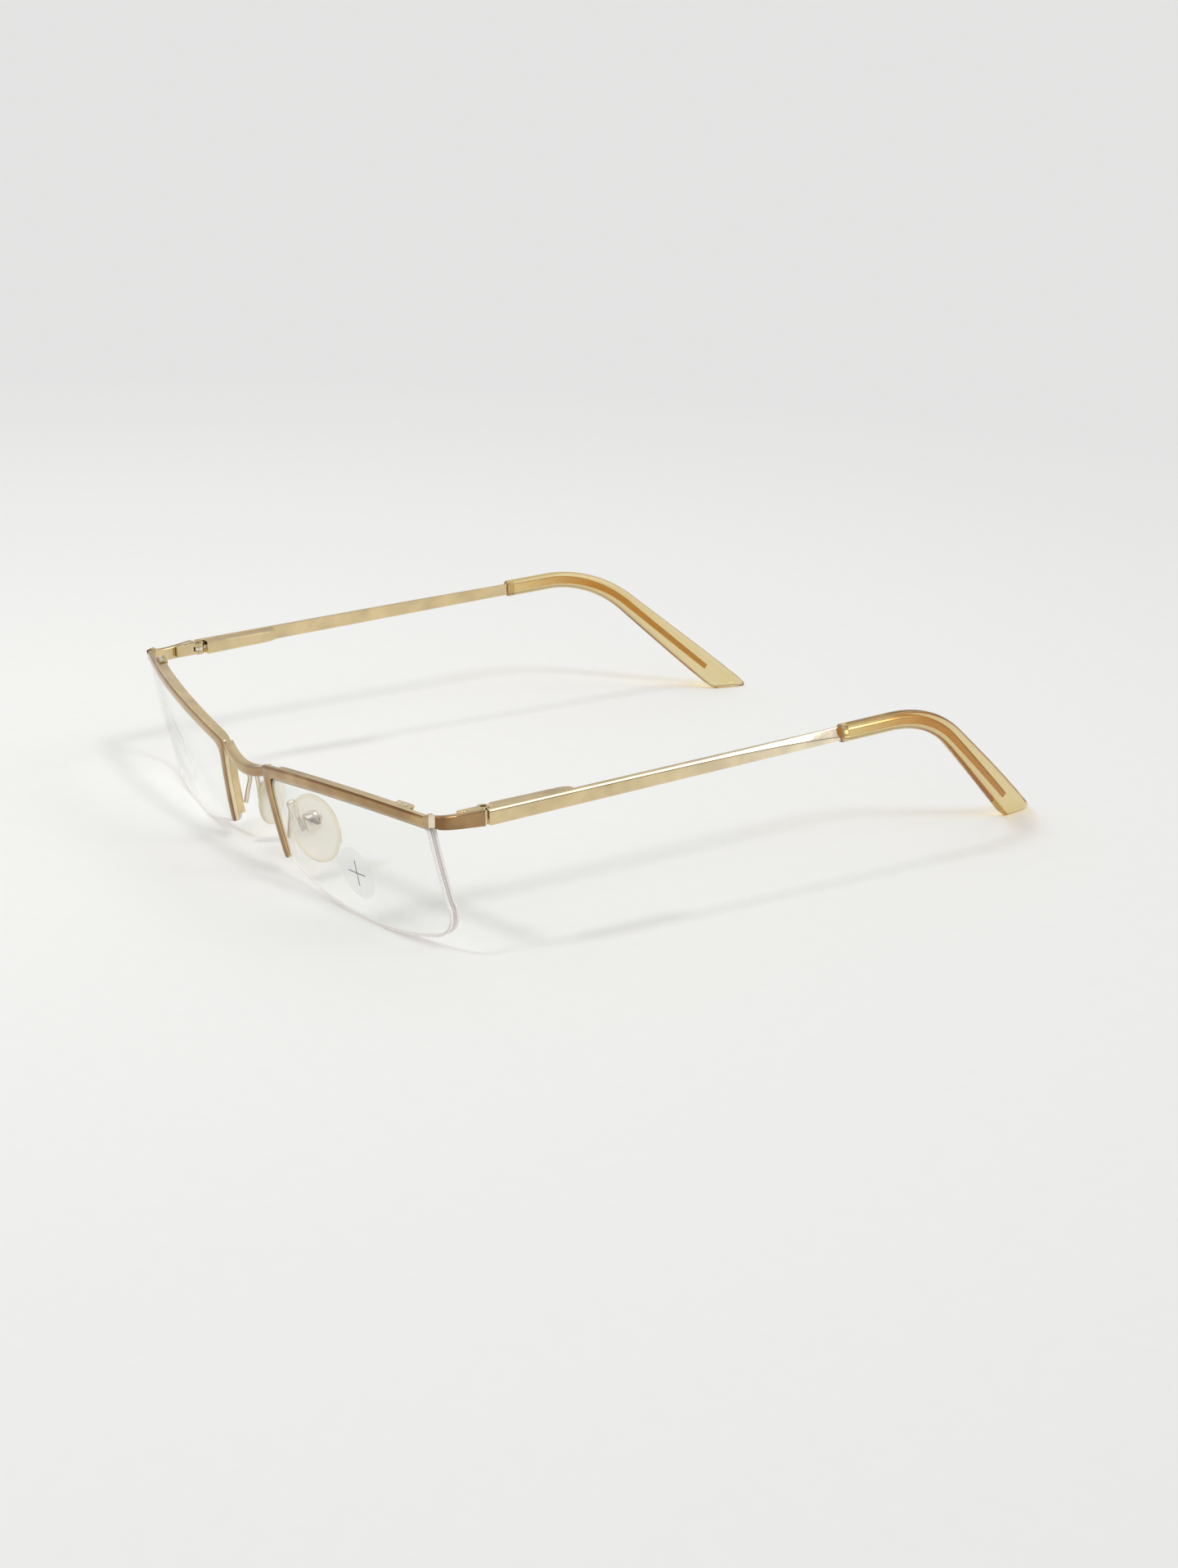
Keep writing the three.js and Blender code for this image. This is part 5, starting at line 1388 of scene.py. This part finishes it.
def cross_mesh():
    front = LENS_MIDDLE - LENS_THICKNESS / 2 - FILM_THICKNESS - 2 * SEAM
    strokes = []
    for lengthwise in (True, False):
        rings = []
        for share in shares(12):
            reach = mix(-CROSS_REACH, CROSS_REACH, share)
            ring = []
            for side, layer in ((-1, 0), (1, 0), (1, 1), (-1, 1)):
                stray = side * CROSS_WIDTH / 2
                u = FILM_U + (reach if lengthwise else stray)
                v = FILM_V + (stray if lengthwise else reach)
                ring.append(on_front(u, front - SEAM * layer, v))
            rings.append(ring)
        strokes.append(skin("stroke", rings))
    return joined("cross", strokes)


# Clear vinyl cling film: almost invisible but for its edge and a slight gloss of its own.
vinyl, tree, shader = new_material("clear_vinyl_cling_film")
creases = noise(tree, FILM_CREASE, 2.0)
sheen = spread(tree, creases, 0.08, 0.22)
tree.links.new(sheen, shader.inputs["Roughness"])
shader.inputs["Base Color"].default_value = linear(FILM_CLEAR)
shader.inputs["Alpha"].default_value = FILM_OPACITY

# Grey screen-printing ink, thin enough to look slightly uneven.
ink, tree, shader = new_material("grey_screen_print_ink")
uneven = noise(tree, PRINT_SPECK, 2.0)
printed = blend(tree, uneven, linear(PRINT_GREY), linear(PRINT_THIN))
tree.links.new(printed, shader.inputs["Base Color"])
shader.inputs["Roughness"].default_value = 0.5

for name, mesh, material in (("lens_film", film_mesh(), vinyl), ("lens_film_cross", cross_mesh(), ink)):
    mesh.materials.append(material)
    piece = placed(name, mesh)
    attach(piece, "front")


# Table and studio. The glasses stand on matt white paper under three soft lamps: in front, on the
# wearer's left and behind on that side. The room is pale at the horizon and overhead, with a band of
# darker wall between, so that the polished metal has something to mirror.

TABLE_HALF_WIDTH = 15.0
# The near and far colours paint a pool of light on the paper.
PAPER_IN_PAINTED_LIGHT = "#E8E8E6"
PAPER_OUTSIDE_PAINTED_LIGHT = "#D8D9D8"
PAPER_FADE_START = 0.08
PAPER_FADE_END = 0.5
PAPER_PAINTED_LIGHT_MIDDLE = Vector((-0.085, -0.13, 0))
PAPER_FIBRE = 4.0
ROOM_PALE = "#EDEDED"
WALL_LIGHT = "#BDB7AE"
WALL_DARK = "#40362E"
WALL_FOOT = 0.08
WALL_DARKEST = 0.15
WALL_TOP = 0.5
WALL_DARK_SIDE = (0.86, -0.51, 0.0)
WALL_TURN = (-0.3, 0.4)
ROOM_STRENGTH = 0.89
CAMERA_PLACE = Vector((0.4605, -0.2772, 0.1844))
CAMERA_AZIMUTH = math.radians(58.769)
CAMERA_ELEVATION = math.radians(18.607)
FOCAL_PIXELS = 3314.2
FRAME_HEIGHT_PIXELS = 1916
SENSOR = 36.0

# Matt white paper with a faint fibre, and a painted pool of light: bright near the glasses and a
# little greyer farther off.
paper, tree, shader = new_material("matt_white_paper")
place = add_node(tree, "ShaderNodeTexCoord", {})
away = add_node(tree, "ShaderNodeVectorMath", {
    0: place.outputs["Object"], 1: PAPER_PAINTED_LIGHT_MIDDLE}, operation="DISTANCE")
# Painted pool of light: paler near the glasses, greyer farther off.
painted_light_falloff = spread(tree, away.outputs["Value"], 0.0, 1.0, PAPER_FADE_START, PAPER_FADE_END)
fibre = noise(tree, PAPER_FIBRE, 3.0)
flat = blend(tree, painted_light_falloff, linear(PAPER_IN_PAINTED_LIGHT), linear(PAPER_OUTSIDE_PAINTED_LIGHT))
speck = spread(tree, fibre, 0.99, 1.0)
sheet = blend(tree, 1.0, flat, speck, "MULTIPLY")
tree.links.new(sheet, shader.inputs["Base Color"])
shader.inputs["Roughness"].default_value = 1.0
shader.inputs["Specular IOR Level"].default_value = 0.0

table_mesh = bpy.data.meshes.new("table")
reach = TABLE_HALF_WIDTH
corners = [(-reach, -reach, 0), (reach, -reach, 0), (reach, reach, 0), (-reach, reach, 0)]
table_mesh.from_pydata(corners, [], [(0, 1, 2, 3)])
table_mesh.materials.append(paper)
placed("table", table_mesh)

for name, azimuth, elevation, softness, strength in (
        ("front_lamp", -8, 50, 9, 0.79), ("left_lamp", 92, 45, 9, 0.7), ("rear_lamp", 133, 40, 22, 0.34)):
    lamp_data = bpy.data.lights.new(name, "SUN")
    lamp_data.energy = strength
    lamp_data.angle = math.radians(softness)
    lamp = placed(name, lamp_data)
    turn = math.radians(azimuth)
    lift = math.radians(elevation)
    towards = Vector((math.sin(turn) * math.cos(lift), -math.cos(turn) * math.cos(lift), math.sin(lift)))
    lamp.rotation_euler = towards.to_track_quat("Z", "Y").to_euler()

room = bpy.data.worlds.new("pale_room")
room.use_nodes = True
bpy.context.scene.world = room
tree = room.node_tree
sky = tree.nodes["Background"]
way = add_node(tree, "ShaderNodeTexCoord", {})
lift = add_node(tree, "ShaderNodeSeparateXYZ", {"Vector": way.outputs["Generated"]})
walls = add_node(tree, "ShaderNodeValToRGB", {"Fac": lift.outputs["Z"]})
walls.color_ramp.interpolation = "EASE"
walls.color_ramp.elements[0].color = (1.0, 1.0, 1.0, 1.0)
walls.color_ramp.elements[1].position = WALL_TOP
for height, pale in ((WALL_FOOT, 1.0), (WALL_DARKEST, 0.0)):
    walls.color_ramp.elements.new(height).color = (pale, pale, pale, 1.0)
facing = add_node(tree, "ShaderNodeVectorMath", {
    0: way.outputs["Generated"], 1: WALL_DARK_SIDE}, operation="DOT_PRODUCT")
side = add_node(tree, "ShaderNodeMapRange", {
    "Value": facing.outputs["Value"], "From Min": WALL_TURN[0], "From Max": WALL_TURN[1]},
    interpolation_type="SMOOTHSTEP")
wall = blend(tree, side.outputs["Result"], linear(WALL_LIGHT), linear(WALL_DARK))
shade = blend(tree, walls.outputs["Color"], wall, linear(ROOM_PALE))
tree.links.new(shade, sky.inputs["Color"])
sky.inputs["Strength"].default_value = ROOM_STRENGTH

camera_data = bpy.data.cameras.new("camera")
camera_data.sensor_width = SENSOR
camera_data.lens = FOCAL_PIXELS * SENSOR / FRAME_HEIGHT_PIXELS
camera_data.clip_start = 0.01
camera = placed("camera", camera_data)
camera.location = CAMERA_PLACE
camera.rotation_euler = (math.pi / 2 - CAMERA_ELEVATION, 0, CAMERA_AZIMUTH)
bpy.context.scene.camera = camera
bpy.context.scene.view_settings.view_transform = "Standard"
